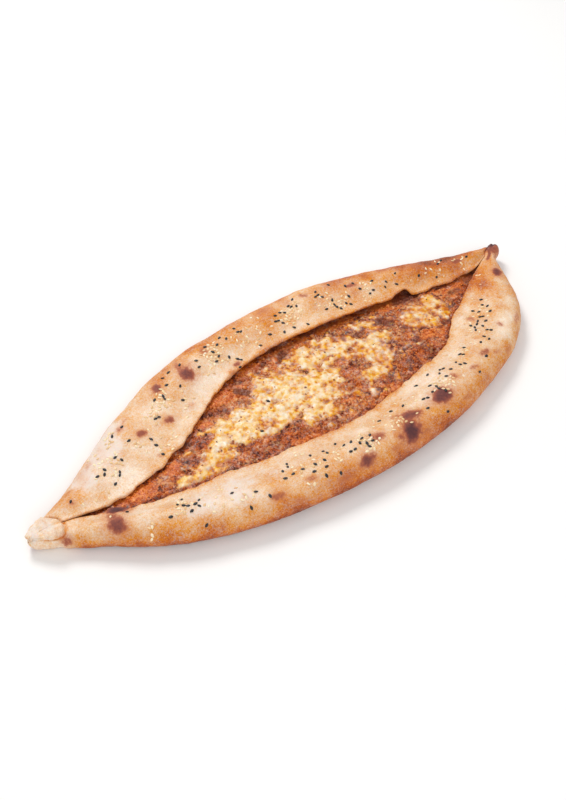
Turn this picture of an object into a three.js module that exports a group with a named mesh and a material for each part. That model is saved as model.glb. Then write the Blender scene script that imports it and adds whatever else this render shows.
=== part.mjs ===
// Turkish pide with minced meat and melted cheese: one boat of bread whose long sides fold in over the filling
// and are pinched together at both ends, the meat layer that runs under the folds, and the melted cheese on it.
// Millimetres, +X along the boat towards its slender end, +Z up, origin under the middle on the resting plane.
import * as THREE from "three";

// ---- driving sizes ----
const FLOOR = 4.0; // bread under the filling
const LIP = 3.2; // thickness of a fold's free edge
const ROLL_OUT = 14.0; // how far the rounded outer side reaches in at its foot
const ROLL_TOP = 17.0; // how far in the crest of the roll lies
const POCKET = 15.5; // how far the space under a fold reaches in from the lip
const TUCK = 13.5; // how far the meat runs in under a fold
const GAP = 0.3; // between two layers that touch
const NEAR_TALLER = 2.1; // how much higher the near roll stands than the far one
const LIP_LIFT = 3.4; // how far the far lip stands up off the filling at its highest
const LIP_LIFT_AT = 11.4; // rib where it does
const OPEN_FROM = [2.9, 4.7]; // ribs over which the blunt end's seam opens
const SHUT_FROM = [15.4, 17.1]; // ribs over which the slender end's seam shuts
const SEAM = 4.0; // depth of the seam between the pinched folds
const MEAT_EDGE = 8.3; // top of the meat under a fold
const MEAT_LIP = 8.7; // top of the meat at a lip
const MEAT_DOME = 1.5; // how much higher the meat stands along the middle
const CHEESE = 1.7; // thickness of the melted cheese
const CHEESE_RIM = 0.7; // thickness at its edge
const CUTS = 3; // cross-sections from one rib to the next

// One row a rib, from the blunt end to the slender one: outer edge and lip of the far side, then lip and outer
// edge of the near side (plan x, y), then the heights of the crest, the lips and the underside.
const RIBS = [
  [-206.5, 3.0, -206.8, 0.8, -206.8, 0.0, -206.4, -2.8, 8.5, 8.2, 3.0],
  [-201, 6.6, -200, -0.2, -200, -1.1, -201, -7.0, 11.8, 11.0, 1.4],
  [-192, 9.0, -189, -2.2, -189, -3.1, -191.5, -13.2, 13.8, 12.5, 0.5],
  [-183, 12.4, -178, -4.4, -178, -5.4, -182, -22.0, 14.6, 13.0, 0],
  [-172, 17.5, -163, -8.6, -164, -12.0, -171, -30.5, 15.4, 12.8, 0],
  [-157, 26.0, -145, -10.4, -146, -20.2, -155, -45, 16.6, 12.5, 0],
  [-135, 38.3, -120, -7.0, -122, -28.8, -131, -61.5, 18.0, 12.5, 0],
  [-107, 50.8, -95, -1.0, -94, -34.3, -100, -75.5, 18.9, 12.5, 0],
  [-77, 61.4, -70, 13.0, -66, -42.7, -68, -85.5, 19.4, 12.6, 0],
  [-43, 67.4, -40, 25.4, -34, -49.3, -35, -92.4, 19.8, 12.6, 0],
  [-4, 69.6, -4, 30.0, 0, -54.3, 0, -97.0, 20.0, 12.6, 0],
  [38, 67.6, 35, 25.6, 34, -55.0, 36, -97.8, 20.0, 12.6, 0],
  [78, 60.4, 72, 19.3, 68, -50.4, 73, -94.6, 19.8, 12.6, 0],
  [112, 48.4, 102, 13.0, 98, -46.6, 107, -87.0, 19.3, 12.6, 0],
  [142, 35.2, 130, 6.0, 124, -30.5, 140, -76.2, 18.5, 12.6, 0],
  [164, 25.8, 152, 0.2, 148, -18.6, 167, -59.0, 17.8, 12.6, 0],
  [181, 18.2, 169, -1.8, 167, -9.8, 184.5, -36.5, 17.4, 12.8, 0],
  [191, 14.6, 180, -2.6, 180, -4.4, 195.2, -16.8, 17.0, 13.6, 0.5],
  [199.6, 10.8, 193.4, 1.0, 193.6, 0.1, 201.8, -4.8, 15.8, 14.2, 1.8],
  [205.6, 9.0, 201.4, 4.2, 201.8, 3.4, 208.4, 0.2, 14.8, 13.7, 3.6],
  [211.6, 10.8, 210.2, 8.3, 210.7, 7.5, 214.6, 5.6, 13.4, 12.6, 5.6],
];
// where the melted cheese ends, as shares of the way from the far lip to the near one, at ribs 6 to 15
const CHEESE_OUTLINE = [
  [6.0, 0.42, 0.72],
  [6.5, 0.22, 0.84],
  [7.0, 0.1, 0.86],
  [7.5, 0.16, 0.84],
  [8.0, 0.14, 0.72],
  [8.5, 0.15, 0.64],
  [9.0, 0.17, 0.74],
  [9.5, 0.19, 0.8],
  [10.0, 0.22, 0.78],
  [10.5, 0.18, 0.72],
  [11.0, 0.17, 0.78],
  [11.5, 0.22, 0.82],
  [12.0, 0.26, 0.76],
  [12.5, 0.22, 0.6],
  [13.0, 0.18, 0.6],
  [13.5, 0.16, 0.72],
  [14.0, 0.16, 0.8],
  [14.5, 0.18, 0.78],
  [15.0, 0.36, 0.66],
];

// ---- small functions ----
const mix = (a, b, f) => a + (b - a) * f;
const clamp = (v, a, b) => Math.min(b, Math.max(a, v));
const ease = (a, b, v) => {
  const f = clamp((v - a) / (b - a), 0, 1);
  return f * f * (3 - 2 * f);
};
const last = RIBS.length - 1;

// smooth curve through one column of the ribs
function curve(column, t) {
  const c = (i) => RIBS[i][column];
  const i = Math.min(Math.floor(clamp(t, 0, last)), last - 1);
  const f = t - i;
  const p1 = c(i);
  const p2 = c(i + 1);
  const p0 = i > 0 ? c(i - 1) : 2 * p1 - p2;
  const p3 = i < last - 1 ? c(i + 2) : 2 * p2 - p1;
  return (
    0.5 *
    (2 * p1 +
      (p2 - p0) * f +
      (2 * p0 - 5 * p1 + 4 * p2 - p3) * f * f +
      (3 * p1 - p0 - 3 * p2 + p3) * f * f * f)
  );
}

// straight steps through a small table of [position, a, b]
function steps(table, t, column) {
  let k = 0;
  while (k < table.length - 2 && t > table[k + 1][0]) k++;
  const [a, b] = [table[k], table[k + 1]];
  return mix(a[column], b[column], ease(a[0], b[0], t));
}

// everything about the cross-section at position t along the ribs; side 0 is the far one, 1 the near one
function section(t) {
  const open = ease(...OPEN_FROM, t) * (1 - ease(...SHUT_FROM, t));
  const base = Math.max(curve(10, t), 0);
  const groove = 0.3 + (SEAM - 0.3) * ease(0, 4, t) * (1 - ease(16, last, t));
  const lift = LIP_LIFT * Math.exp(-(((t - LIP_LIFT_AT) / 1.9) ** 2));
  const sides = [0, 1].map((side) => {
    const outer = [curve(side ? 6 : 0, t), curve(side ? 7 : 1, t)];
    const lip = [curve(side ? 4 : 2, t), curve(side ? 5 : 3, t)];
    // slow unevenness of a hand-folded rim
    const wave =
      side === 0
        ? 0.55 * Math.sin(2.3 * t + 0.6) + 0.35 * Math.sin(4.9 * t + 2.0)
        : 0.5 * Math.sin(2.0 * t + 1.9) + 0.35 * Math.sin(5.3 * t);
    const crest = curve(8, t) + open * (wave + side * NEAR_TALLER);
    const edge = curve(9, t) + (side ? 0 : lift + 0.3 * open * Math.sin(5.7 * t));
    const width = Math.hypot(lip[0] - outer[0], lip[1] - outer[1]);
    return {
      outer,
      lip,
      crest,
      edge,
      width,
      way: [(lip[0] - outer[0]) / width, (lip[1] - outer[1]) / width],
    };
  });
  const middle = [0, 1].map((k) => (sides[0].lip[k] + sides[1].lip[k]) / 2);
  return { open, base, groove, sides, middle };
}

// one side of a cross-section, from the edge of the flat underside out, up, over the fold and back in to the floor
function sidePoints(cut, side) {
  const { open, base, groove, middle } = cut;
  const { outer, lip, crest, edge, width, way } = cut.sides[side];
  const points = [];
  const put = (s, z) => points.push([outer[0] + way[0] * s, outer[1] + way[1] * s, z]);
  const foot = Math.min(ROLL_OUT, 0.4 * width);
  const top = Math.min(ROLL_TOP, 0.48 * width);
  const belly = base + 0.45 * (crest - base);
  // underside, from the middle out
  points.push([mix(middle[0], lip[0], 0.9), mix(middle[1], lip[1], 0.9), base]);
  put(mix(foot, width, 0.5), base);
  for (let k = 0; k <= 4; k++) {
    const a = (k / 5) * (Math.PI / 2);
    put(foot * (1 - Math.sin(a) ** 0.9), belly - (belly - base) * Math.cos(a) ** 0.9);
  }
  for (let k = 0; k <= 5; k++) {
    const a = (k / 5) * (Math.PI / 2);
    put(top * (1 - Math.cos(a)), belly + (crest - belly) * Math.sin(a));
  }
  // the fold slopes in to its lip
  const round = Math.min(1.1, 0.12 * width);
  for (let k = 1; k <= 5; k++) {
    const f = k / 5;
    put(mix(top, width - round, f), mix(crest, edge, 0.5 - 0.5 * Math.cos(Math.PI * f ** 0.95)));
  }
  const lipThick = mix(0.55 * groove, LIP, open);
  put(width - 0.15 * round, edge - 0.22 * lipThick);
  put(width, edge - 0.55 * lipThick);
  put(width - round, edge - lipThick);
  // ceiling, end and floor of the space under the fold
  const depth = mix(Math.min(0.3 + round, 0.2 * width), POCKET, open);
  const floor = mix(edge - groove, FLOOR, open);
  const ceiling = mix(edge - 0.72 * groove, Math.max(0.48 * crest, 8.9), open);
  put(width - mix(round, depth, 0.5), mix(edge - lipThick, ceiling, 0.55));
  put(width - mix(round, depth, 0.88), ceiling);
  put(width - depth, mix(floor, ceiling, 0.5));
  put(width - mix(round, depth, 0.9), floor);
  put(width - mix(round, depth, 0.3), floor);
  return points;
}

// top of the bread under the filling, or the bottom of the seam where the folds are pinched shut
const floorAt = ({ open, groove, sides }) =>
  mix(Math.min(sides[0].edge, sides[1].edge) - groove, FLOOR, open);

// closed skin over rings of equal length, each end closed on its own middle
function skin(name, rings, colour, roughness) {
  const n = rings[0].length;
  const positions = [];
  const at = (p) => positions.push(p[0], p[1], p[2]);
  const face = (a, b, c) => {
    at(a);
    at(c);
    at(b);
  };
  for (let i = 0; i + 1 < rings.length; i++)
    for (let k = 0; k < n; k++) {
      const a = rings[i][k];
      const b = rings[i][(k + 1) % n];
      const c = rings[i + 1][(k + 1) % n];
      const d = rings[i + 1][k];
      face(a, b, c);
      face(a, c, d);
    }
  for (const [ring, turn] of [
    [rings[0], false],
    [rings[rings.length - 1], true],
  ]) {
    const centre = [0, 1, 2].map((k) => ring.reduce((s, p) => s + p[k], 0) / n);
    for (let k = 0; k < n; k++) {
      const a = ring[k];
      const b = ring[(k + 1) % n];
      if (turn) face(a, b, centre);
      else face(b, a, centre);
    }
  }
  const geometry = new THREE.BufferGeometry();
  geometry.setAttribute("position", new THREE.Float32BufferAttribute(positions, 3));
  geometry.computeVertexNormals();
  const material = new THREE.MeshStandardMaterial({ color: colour, roughness, metalness: 0 });
  const mesh = new THREE.Mesh(geometry, material);
  mesh.name = name;
  return mesh;
}

// ---- the boat of bread ----
const boatRings = [];
for (let i = 0; i <= last * CUTS; i++) {
  const t = i / CUTS;
  const cut = section(t);
  const far = sidePoints(cut, 0);
  const near = sidePoints(cut, 1);
  const seam = floorAt(cut);
  boatRings.push([
    [...cut.middle, cut.base],
    ...near,
    [...cut.middle, seam],
    ...far.reverse(),
  ]);
}

// ---- the meat layer ----
const MEAT_FROM = 4;
const MEAT_TO = 16;
const lipPoint = (t, v) => {
  const { sides } = section(t);
  return [0, 1].map((k) => mix(sides[0].lip[k], sides[1].lip[k], v));
};
// top of the meat at share v of the way from the far lip to the near one
const meatTop = (t, v) =>
  MEAT_LIP +
  (MEAT_DOME + 0.35 * Math.sin(1.7 * t + 0.8) * Math.sin(5.2 * v)) *
    Math.sin(Math.PI * clamp(v, 0, 1)) ** 0.8 *
    clamp(Math.min(t - MEAT_FROM, MEAT_TO - t) / 1.5, 0, 1);
const meatRings = [];
for (let i = MEAT_FROM * CUTS; i <= MEAT_TO * CUTS; i++) {
  const t = i / CUTS;
  const cut = section(t);
  const { open, sides } = cut;
  const tuck = sides.map((s) => mix(0, TUCK, open) - 0.6);
  const under = (side, f) =>
    [0, 1].map((k) => sides[side].lip[k] - sides[side].way[k] * tuck[side] * f);
  const low = floorAt(cut) + GAP;
  const ring = [];
  for (const v of [0.2, 0.5, 0.8]) ring.push([...lipPoint(t, v), low]);
  ring.push([...under(1, 0.5), low], [...under(1, 0.93), low + 0.2]);
  ring.push([...under(1, 1), mix(low, MEAT_EDGE, 0.5)], [...under(1, 0.9), MEAT_EDGE - 0.2]);
  ring.push([...under(1, 0.45), MEAT_EDGE]);
  for (const v of [1, 0.88, 0.72, 0.55, 0.4, 0.25, 0.12, 0]) ring.push([...lipPoint(t, v), meatTop(t, v)]);
  ring.push([...under(0, 0.45), MEAT_EDGE]);
  ring.push([...under(0, 0.9), MEAT_EDGE - 0.2], [...under(0, 1), mix(low, MEAT_EDGE, 0.5)]);
  ring.push([...under(0, 0.93), low + 0.2], [...under(0, 0.5), low]);
  meatRings.push(ring);
}

// ---- the melted cheese ----
const cheeseRings = [];
const cheeseFrom = CHEESE_OUTLINE[0][0];
const cheeseTo = CHEESE_OUTLINE[CHEESE_OUTLINE.length - 1][0];
for (let i = cheeseFrom * CUTS; i <= cheeseTo * CUTS; i++) {
  const t = i / CUTS;
  const f = (t - cheeseFrom) / (cheeseTo - cheeseFrom);
  const from = steps(CHEESE_OUTLINE, t, 1);
  const to = steps(CHEESE_OUTLINE, t, 2);
  const thick = mix(CHEESE_RIM, CHEESE, clamp(Math.min(f, 1 - f) * 9, 0, 1));
  const ring = [];
  const lift = 2 * GAP - 0.2;
  for (const w of [0, 0.2, 0.4, 0.6, 0.8, 1]) {
    const v = mix(from, to, w);
    ring.push([...lipPoint(t, v), meatTop(t, v) + lift]);
  }
  for (const w of [0.97, 0.86, 0.68, 0.5, 0.32, 0.14, 0.03]) {
    const v = mix(from, to, w);
    const high = mix(CHEESE_RIM, thick, clamp(Math.min(w, 1 - w) * 7, 0, 1));
    ring.push([
      ...lipPoint(t, v),
      meatTop(t, v) + lift + high * (1 + 0.16 * Math.sin(3.1 * t + 9 * v)),
    ]);
  }
  cheeseRings.push(ring);
}

// ---- put together, centred on the boat's own outline ----
let [x0, x1, y0, y1] = [Infinity, -Infinity, Infinity, -Infinity];
for (const ring of boatRings)
  for (const p of ring) {
    x0 = Math.min(x0, p[0]);
    x1 = Math.max(x1, p[0]);
    y0 = Math.min(y0, p[1]);
    y1 = Math.max(y1, p[1]);
  }
const group = new THREE.Group();
group.add(skin("dough", boatRings, 0xd9a566, 0.75));
group.add(skin("filling", meatRings, 0x8f3f1d, 0.6));
group.add(skin("cheese", cheeseRings, 0xf0d68a, 0.5));
for (const mesh of group.children) mesh.geometry.translate(-(x0 + x1) / 2, -(y0 + y1) / 2, 0);

export default group;
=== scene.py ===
# A turkish pide: boat of folded bread, minced meat, melted cheese, dark and pale sesame seeds.
import math

import bpy
import numpy as np
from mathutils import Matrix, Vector
from mathutils.bvhtree import BVHTree


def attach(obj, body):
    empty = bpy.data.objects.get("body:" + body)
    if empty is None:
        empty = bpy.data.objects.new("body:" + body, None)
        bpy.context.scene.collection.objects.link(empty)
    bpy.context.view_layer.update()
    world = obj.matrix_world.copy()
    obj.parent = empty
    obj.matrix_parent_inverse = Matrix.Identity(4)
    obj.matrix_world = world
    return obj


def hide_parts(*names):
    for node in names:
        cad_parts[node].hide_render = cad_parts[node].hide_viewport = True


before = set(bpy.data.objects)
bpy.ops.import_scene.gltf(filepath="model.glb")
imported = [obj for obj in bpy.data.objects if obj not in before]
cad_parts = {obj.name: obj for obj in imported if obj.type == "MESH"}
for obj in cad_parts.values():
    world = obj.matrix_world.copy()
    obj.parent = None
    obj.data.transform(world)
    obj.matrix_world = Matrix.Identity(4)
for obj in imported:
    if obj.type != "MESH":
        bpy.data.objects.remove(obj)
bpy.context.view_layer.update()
MM = 0.001
rng = np.random.default_rng(604)

# ---------------------------------------------------------------------------------------------------------
# sizes of the CAD part, repeated (millimetres; the ribs are centred by SHIFT, as the part centres itself)
# ---------------------------------------------------------------------------------------------------------
FLOOR, LIP, ROLL_OUT, ROLL_TOP, POCKET, TUCK = 4.0, 3.2, 14.0, 17.0, 15.5, 13.5
MEAT_EDGE, MEAT_LIP, MEAT_DOME, NEAR_TALLER = 8.3, 8.7, 1.5, 2.1
LIP_LIFT, LIP_LIFT_AT, SEAM = 3.4, 11.4, 4.0
SHIFT = np.array([-3.9, 14.185])
RIBS = np.array([
    [-206.5, 3.0, -206.8, 0.8, -206.8, 0.0, -206.4, -2.8, 8.5, 8.2, 3.0],
    [-201, 6.6, -200, -0.2, -200, -1.1, -201, -7.0, 11.8, 11.0, 1.4],
    [-192, 9.0, -189, -2.2, -189, -3.1, -191.5, -13.2, 13.8, 12.5, 0.5],
    [-183, 12.4, -178, -4.4, -178, -5.4, -182, -22.0, 14.6, 13.0, 0],
    [-172, 17.5, -163, -8.6, -164, -12.0, -171, -30.5, 15.4, 12.8, 0],
    [-157, 26.0, -145, -10.4, -146, -20.2, -155, -45, 16.6, 12.5, 0],
    [-135, 38.3, -120, -7.0, -122, -28.8, -131, -61.5, 18.0, 12.5, 0],
    [-107, 50.8, -95, -1.0, -94, -34.3, -100, -75.5, 18.9, 12.5, 0],
    [-77, 61.4, -70, 13.0, -66, -42.7, -68, -85.5, 19.4, 12.6, 0],
    [-43, 67.4, -40, 25.4, -34, -49.3, -35, -92.4, 19.8, 12.6, 0],
    [-4, 69.6, -4, 30.0, 0, -54.3, 0, -97.0, 20.0, 12.6, 0],
    [38, 67.6, 35, 25.6, 34, -55.0, 36, -97.8, 20.0, 12.6, 0],
    [78, 60.4, 72, 19.3, 68, -50.4, 73, -94.6, 19.8, 12.6, 0],
    [112, 48.4, 102, 13.0, 98, -46.6, 107, -87.0, 19.3, 12.6, 0],
    [142, 35.2, 130, 6.0, 124, -30.5, 140, -76.2, 18.5, 12.6, 0],
    [164, 25.8, 152, 0.2, 148, -18.6, 167, -59.0, 17.8, 12.6, 0],
    [181, 18.2, 169, -1.8, 167, -9.8, 184.5, -36.5, 17.4, 12.8, 0],
    [191, 14.6, 180, -2.6, 180, -4.4, 195.2, -16.8, 17.0, 13.6, 0.5],
    [199.6, 10.8, 193.4, 1.0, 193.6, 0.1, 201.8, -4.8, 15.8, 14.2, 1.8],
    [205.6, 9.0, 201.4, 4.2, 201.8, 3.4, 208.4, 0.2, 14.8, 13.7, 3.6],
    [211.6, 10.8, 210.2, 8.3, 210.7, 7.5, 214.6, 5.6, 13.4, 12.6, 5.6],
])
LAST = len(RIBS) - 1

# ---------------------------------------------------------------------------------------------------------
# the photograph's view: a pinhole camera fitted to the outline, in the frame before SHIFT
# ---------------------------------------------------------------------------------------------------------
CAM_AZ, CAM_EL, CAM_D, CAM_F = -0.697354, 0.837758, 600.0, 875.367
CAM_T = np.array([-14.724, -3.932, 0.0])
back = np.array([math.sin(CAM_AZ) * math.cos(CAM_EL), -math.cos(CAM_AZ) * math.cos(CAM_EL), math.sin(CAM_EL)])
right = np.array([math.cos(CAM_AZ), math.sin(CAM_AZ), 0.0])
upward = np.cross(back, right)
eye = CAM_T + CAM_D * back + np.array([SHIFT[0], SHIFT[1], 0.0])


def to_image(p):
    """row-frame millimetres to the photo's 566 x 800 frame"""
    q = np.atleast_2d(p) - eye
    z = -(q @ back)
    return np.stack([283.0 + CAM_F * (q @ right) / z, 400.0 - CAM_F * (q @ upward) / z], 1)


def ray(u, v):
    d = (u - 283.0) / CAM_F * right - (v - 400.0) / CAM_F * upward - back
    return d / np.linalg.norm(d)


def on_plane(u, v, z):
    d = ray(u, v)
    return eye + d * (z - eye[2]) / d[2]


# ---------------------------------------------------------------------------------------------------------
# small functions
# ---------------------------------------------------------------------------------------------------------
def mix(a, b, f):
    return a + (b - a) * f


def ease(a, b, v):
    f = np.clip((np.asarray(v, float) - a) / (b - a), 0, 1)
    return f * f * (3 - 2 * f)


def curve(column, t):
    """smooth curve through one column of the ribs"""
    c = RIBS[:, column]
    t = np.clip(np.asarray(t, float), 0, LAST)
    i = np.minimum(np.floor(t).astype(int), LAST - 1)
    f = t - i
    p1, p2 = c[i], c[i + 1]
    p0 = np.where(i > 0, c[np.maximum(i - 1, 0)], 2 * p1 - p2)
    p3 = np.where(i < LAST - 1, c[np.minimum(i + 2, LAST)], 2 * p2 - p1)
    return 0.5 * (2 * p1 + (p2 - p0) * f + (2 * p0 - 5 * p1 + 4 * p2 - p3) * f**2 + (3 * p1 - p0 - 3 * p2 + p3) * f**3)


def lattice(ix, iy, iz, seed):
    h = (ix * 73856093) ^ (iy * 19349663) ^ (iz * 83492791) ^ (seed * 2654435761)
    h = (h ^ (h >> 13)) * 1274126177
    h = h ^ (h >> 16)
    return (h & 0xFFFFF).astype(float) / 0xFFFFF * 2 - 1


def noise(p, size, seed):
    """smooth value noise, -1 to 1, with features of about that size in millimetres"""
    q = np.asarray(p, float) / size
    i = np.floor(q).astype(np.int64)
    f = q - i
    u = f * f * (3 - 2 * f)
    out = 0.0
    for dx in (0, 1):
        wx = u[:, 0] if dx else 1 - u[:, 0]
        for dy in (0, 1):
            wy = u[:, 1] if dy else 1 - u[:, 1]
            for dz in (0, 1):
                wz = u[:, 2] if dz else 1 - u[:, 2]
                out = out + wx * wy * wz * lattice(i[:, 0] + dx, i[:, 1] + dy, i[:, 2] + dz, seed)
    return out


def fractal(p, size, seed, octaves=3, gain=0.5):
    out, a, s, total = 0.0, 1.0, size, 0.0
    for k in range(octaves):
        out = out + a * noise(p, s, seed + 17 * k)
        total += a
        a *= gain
        s *= 0.47
    return out / total


def lin(r, g, b):
    """8-bit sRGB to linear"""
    return tuple((c / 12.92 if c <= 0.04045 else ((c + 0.055) / 1.055) ** 2.4) for c in (r / 255, g / 255, b / 255))


def mesh_object(name, verts_mm, faces, attributes=None, smooth=True):
    mesh = bpy.data.meshes.new(name)
    v = np.asarray(verts_mm, np.float64) * MM
    if isinstance(faces, np.ndarray):
        n, k = faces.shape
        mesh.vertices.add(len(v))
        mesh.vertices.foreach_set("co", v.astype(np.float32).ravel())
        mesh.loops.add(n * k)
        mesh.loops.foreach_set("vertex_index", faces.astype(np.int32).ravel())
        mesh.polygons.add(n)
        mesh.polygons.foreach_set("loop_start", np.arange(0, n * k, k, dtype=np.int32))
        mesh.update(calc_edges=True)
        mesh.validate()
    else:
        mesh.from_pydata([tuple(p) for p in v], [], faces)
        mesh.update()
    for key, values in (attributes or {}).items():
        a = mesh.attributes.new(key, "FLOAT", "POINT")
        a.data.foreach_set("value", np.asarray(values, np.float32))
    if smooth:
        mesh.polygons.foreach_set("use_smooth", np.ones(len(mesh.polygons), bool))
    ob = bpy.data.objects.new(name, mesh)
    bpy.context.scene.collection.objects.link(ob)
    return ob


# ---------------------------------------------------------------------------------------------------------
# the bread's cross-section, as in the part
# ---------------------------------------------------------------------------------------------------------
def section(t):
    t = np.asarray(t, float)
    opened = ease(2.9, 4.7, t) * (1 - ease(15.4, 17.1, t))
    base = np.maximum(curve(10, t), 0)
    groove = 0.3 + (SEAM - 0.3) * ease(0, 4, t) * (1 - ease(16, LAST, t))
    lift = LIP_LIFT * np.exp(-(((t - LIP_LIFT_AT) / 1.9) ** 2))
    sides = []
    for side in (0, 1):
        outer = np.stack([curve(6 if side else 0, t), curve(7 if side else 1, t)], -1) + SHIFT
        lip = np.stack([curve(4 if side else 2, t), curve(5 if side else 3, t)], -1) + SHIFT
        if side == 0:
            wave = 0.55 * np.sin(2.3 * t + 0.6) + 0.35 * np.sin(4.9 * t + 2.0)
        else:
            wave = 0.5 * np.sin(2.0 * t + 1.9) + 0.35 * np.sin(5.3 * t)
        crest = curve(8, t) + opened * (wave + side * NEAR_TALLER)
        edge = curve(9, t) + (0 if side else lift + 0.3 * opened * np.sin(5.7 * t))
        width = np.linalg.norm(lip - outer, axis=-1)
        sides.append(dict(outer=outer, lip=lip, crest=crest, edge=edge, width=width, way=(lip - outer) / width[:, None]))
    middle = (sides[0]["lip"] + sides[1]["lip"]) / 2
    floor = mix(np.minimum(sides[0]["edge"], sides[1]["edge"]) - groove, FLOOR, opened)
    return dict(open=opened, base=base, groove=groove, sides=sides, middle=middle, floor=floor)


# ---------------------------------------------------------------------------------------------------------
# the bread
# ---------------------------------------------------------------------------------------------------------
def stations(step_tip, step_mid):
    """positions along the ribs, closer together at the pinched ends"""
    dense = np.linspace(0, LAST, 4001)
    reach = 0
    for cx, cy in ((0, 1), (6, 7), (2, 3), (4, 5)):
        d = np.hypot(np.diff(curve(cx, dense)), np.diff(curve(cy, dense)))
        reach = np.maximum(reach, d)
    mid = 0.5 * (dense[1:] + dense[:-1])
    step = mix(step_tip, step_mid, ease(1.5, 5.0, mid) * (1 - ease(15.5, 18.0, mid)))
    s = np.concatenate([[0], np.cumsum(reach / step)])
    n = int(round(s[-1]))
    return np.interp(np.linspace(0, s[-1], n + 1), s, dense)


T = stations(0.5, 1.06)
cut = section(T)


def wiggle(t, size, seed):
    """slow irregular wave along the boat; size in millimetres on the outline"""
    x = np.stack([curve(6, t), curve(7, t), 0 * t], 1)
    return noise(x, size, seed)


def side_columns(side):
    """columns of one side of the bread, from the middle of the underside round to the floor: xy, z, and a place
    number q (-2 middle of the underside, -1 foot, 0 outermost, 1 crest, 2 lip, 3 ceiling, 4 floor)"""
    s = cut["sides"][side]
    o, way, width, crest, edge = s["outer"], s["way"], s["width"].copy(), s["crest"].copy(), s["edge"].copy()
    opened, base, middle = cut["open"], cut["base"], cut["middle"]
    # the crease between the two sides is lost in the nub and in the tail
    crease = ease(1.5, 2.6, T) * (1 - ease(18.2, 19.2, T))
    groove = mix(0.1, cut["groove"], crease)
    edge = mix(crest - 0.25, edge, crease)
    # hand-made unevenness of the free edge
    uneven = opened * (0.9 * wiggle(T, 13, 31 + side) + 0.6 * wiggle(T, 5, 41 + side) + 0.25 * wiggle(T, 2.4, 43 + side))
    if side == 0:
        # the torn step in the far edge, with its end curled up
        uneven = uneven - 3.6 * ease(12.95, 13.5, T) * (1 - ease(13.52, 13.66, T)) + 0.9 * ease(13.55, 13.7, T) * (1 - ease(13.8, 14.6, T))
        edge = edge + 1.6 * ease(13.1, 13.45, T) * (1 - ease(13.52, 13.7, T)) - 1.3 * ease(13.55, 13.75, T) * (1 - ease(13.9, 14.5, T))
        # the fold's corner over the blunt end of the filling
        uneven = uneven - 1.4 * ease(6.2, 6.55, T) * (1 - ease(6.6, 7.4, T))
        edge = edge + 0.8 * np.exp(-(((T - 6.6) / 0.22) ** 2))
        edge = edge - 0.9 * np.exp(-(((T - 17.7) / 0.7) ** 2))
    else:
        uneven = uneven + 1.5 * np.exp(-(((T - 8.55) / 0.16) ** 2))
        edge = edge + 0.9 * np.exp(-(((T - 8.6) / 0.2) ** 2))
        # the near side lies over the far one where the tail begins
        edge = edge + 1.3 * np.exp(-(((T - 17.7) / 0.7) ** 2))
        # a scorched scrap of the edge in the corner of the opening
        scrap = ease(4.12, 4.3, T) * (1 - ease(4.62, 4.86, T))
        uneven = uneven + 3.4 * scrap
        edge = edge - 1.2 * scrap
    width = width + uneven
    crest = crest + opened * 0.5 * wiggle(T, 24, 51 + side)
    foot = np.minimum(ROLL_OUT, 0.4 * width)
    top = np.minimum(ROLL_TOP, 0.48 * width)
    belly = base + 0.45 * (crest - base)
    rnd = np.minimum(0.85, 0.12 * width)
    lip = LIP - 0.9 * (side == 0) * opened
    thick = mix(0.55 * groove, lip, opened)
    depth = mix(np.minimum(0.3 + rnd, 0.2 * width), POCKET, opened)
    floor = mix(edge - groove, FLOOR, opened)
    ceiling = mix(edge - 0.72 * groove, np.maximum(0.48 * crest, 8.9), opened)
    cols = []

    def put(d, z, q):
        cols.append((o + way * np.asarray(d)[:, None], np.asarray(z, float) + 0 * T, np.full(len(T), float(q))))

    for f in (0.25, 0.6):
        cols.append((mix(middle, s["lip"], f), base.copy(), np.full(len(T), -2 + 0.3 * f)))
    for f in (0.95, 0.72, 0.48, 0.24, 0.1):
        put(mix(foot, width, f), base, -1 - 0.6 * f)
    for k in range(11):
        a = k / 11 * math.pi / 2
        put(foot * (1 - math.sin(a) ** 0.9), belly - (belly - base) * math.cos(a) ** 0.9, -1 + k / 11)
    for k in range(15):
        a = k / 14 * math.pi / 2
        put(top * (1 - math.cos(a)), belly + (crest - belly) * math.sin(a), k / 14)
    for k in range(1, 35):
        f = k / 34
        put(mix(top, width - rnd, f), mix(crest, edge, 0.5 - 0.5 * math.cos(math.pi * f**0.95)), 1 + 0.93 * f)
    for k in range(1, 8):
        a = k / 8 * math.pi
        put(width - rnd + rnd * math.sin(a), edge - thick * (0.5 - 0.5 * math.cos(a)), 1.93 + 0.14 * k / 8)
    for f, z in ((0.12, 0.0), (0.35, 0.35), (0.62, 0.75), (0.88, 1.0)):
        put(width - mix(rnd, depth, f), mix(edge - thick, ceiling, z), 2.2 + 0.7 * f)
    put(width - depth, mix(floor, ceiling, 0.5), 3.3)
    put(width - mix(rnd, depth, 0.9), floor, 3.7)
    put(width - mix(rnd, depth, 0.3), floor, 4)
    return cols


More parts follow.
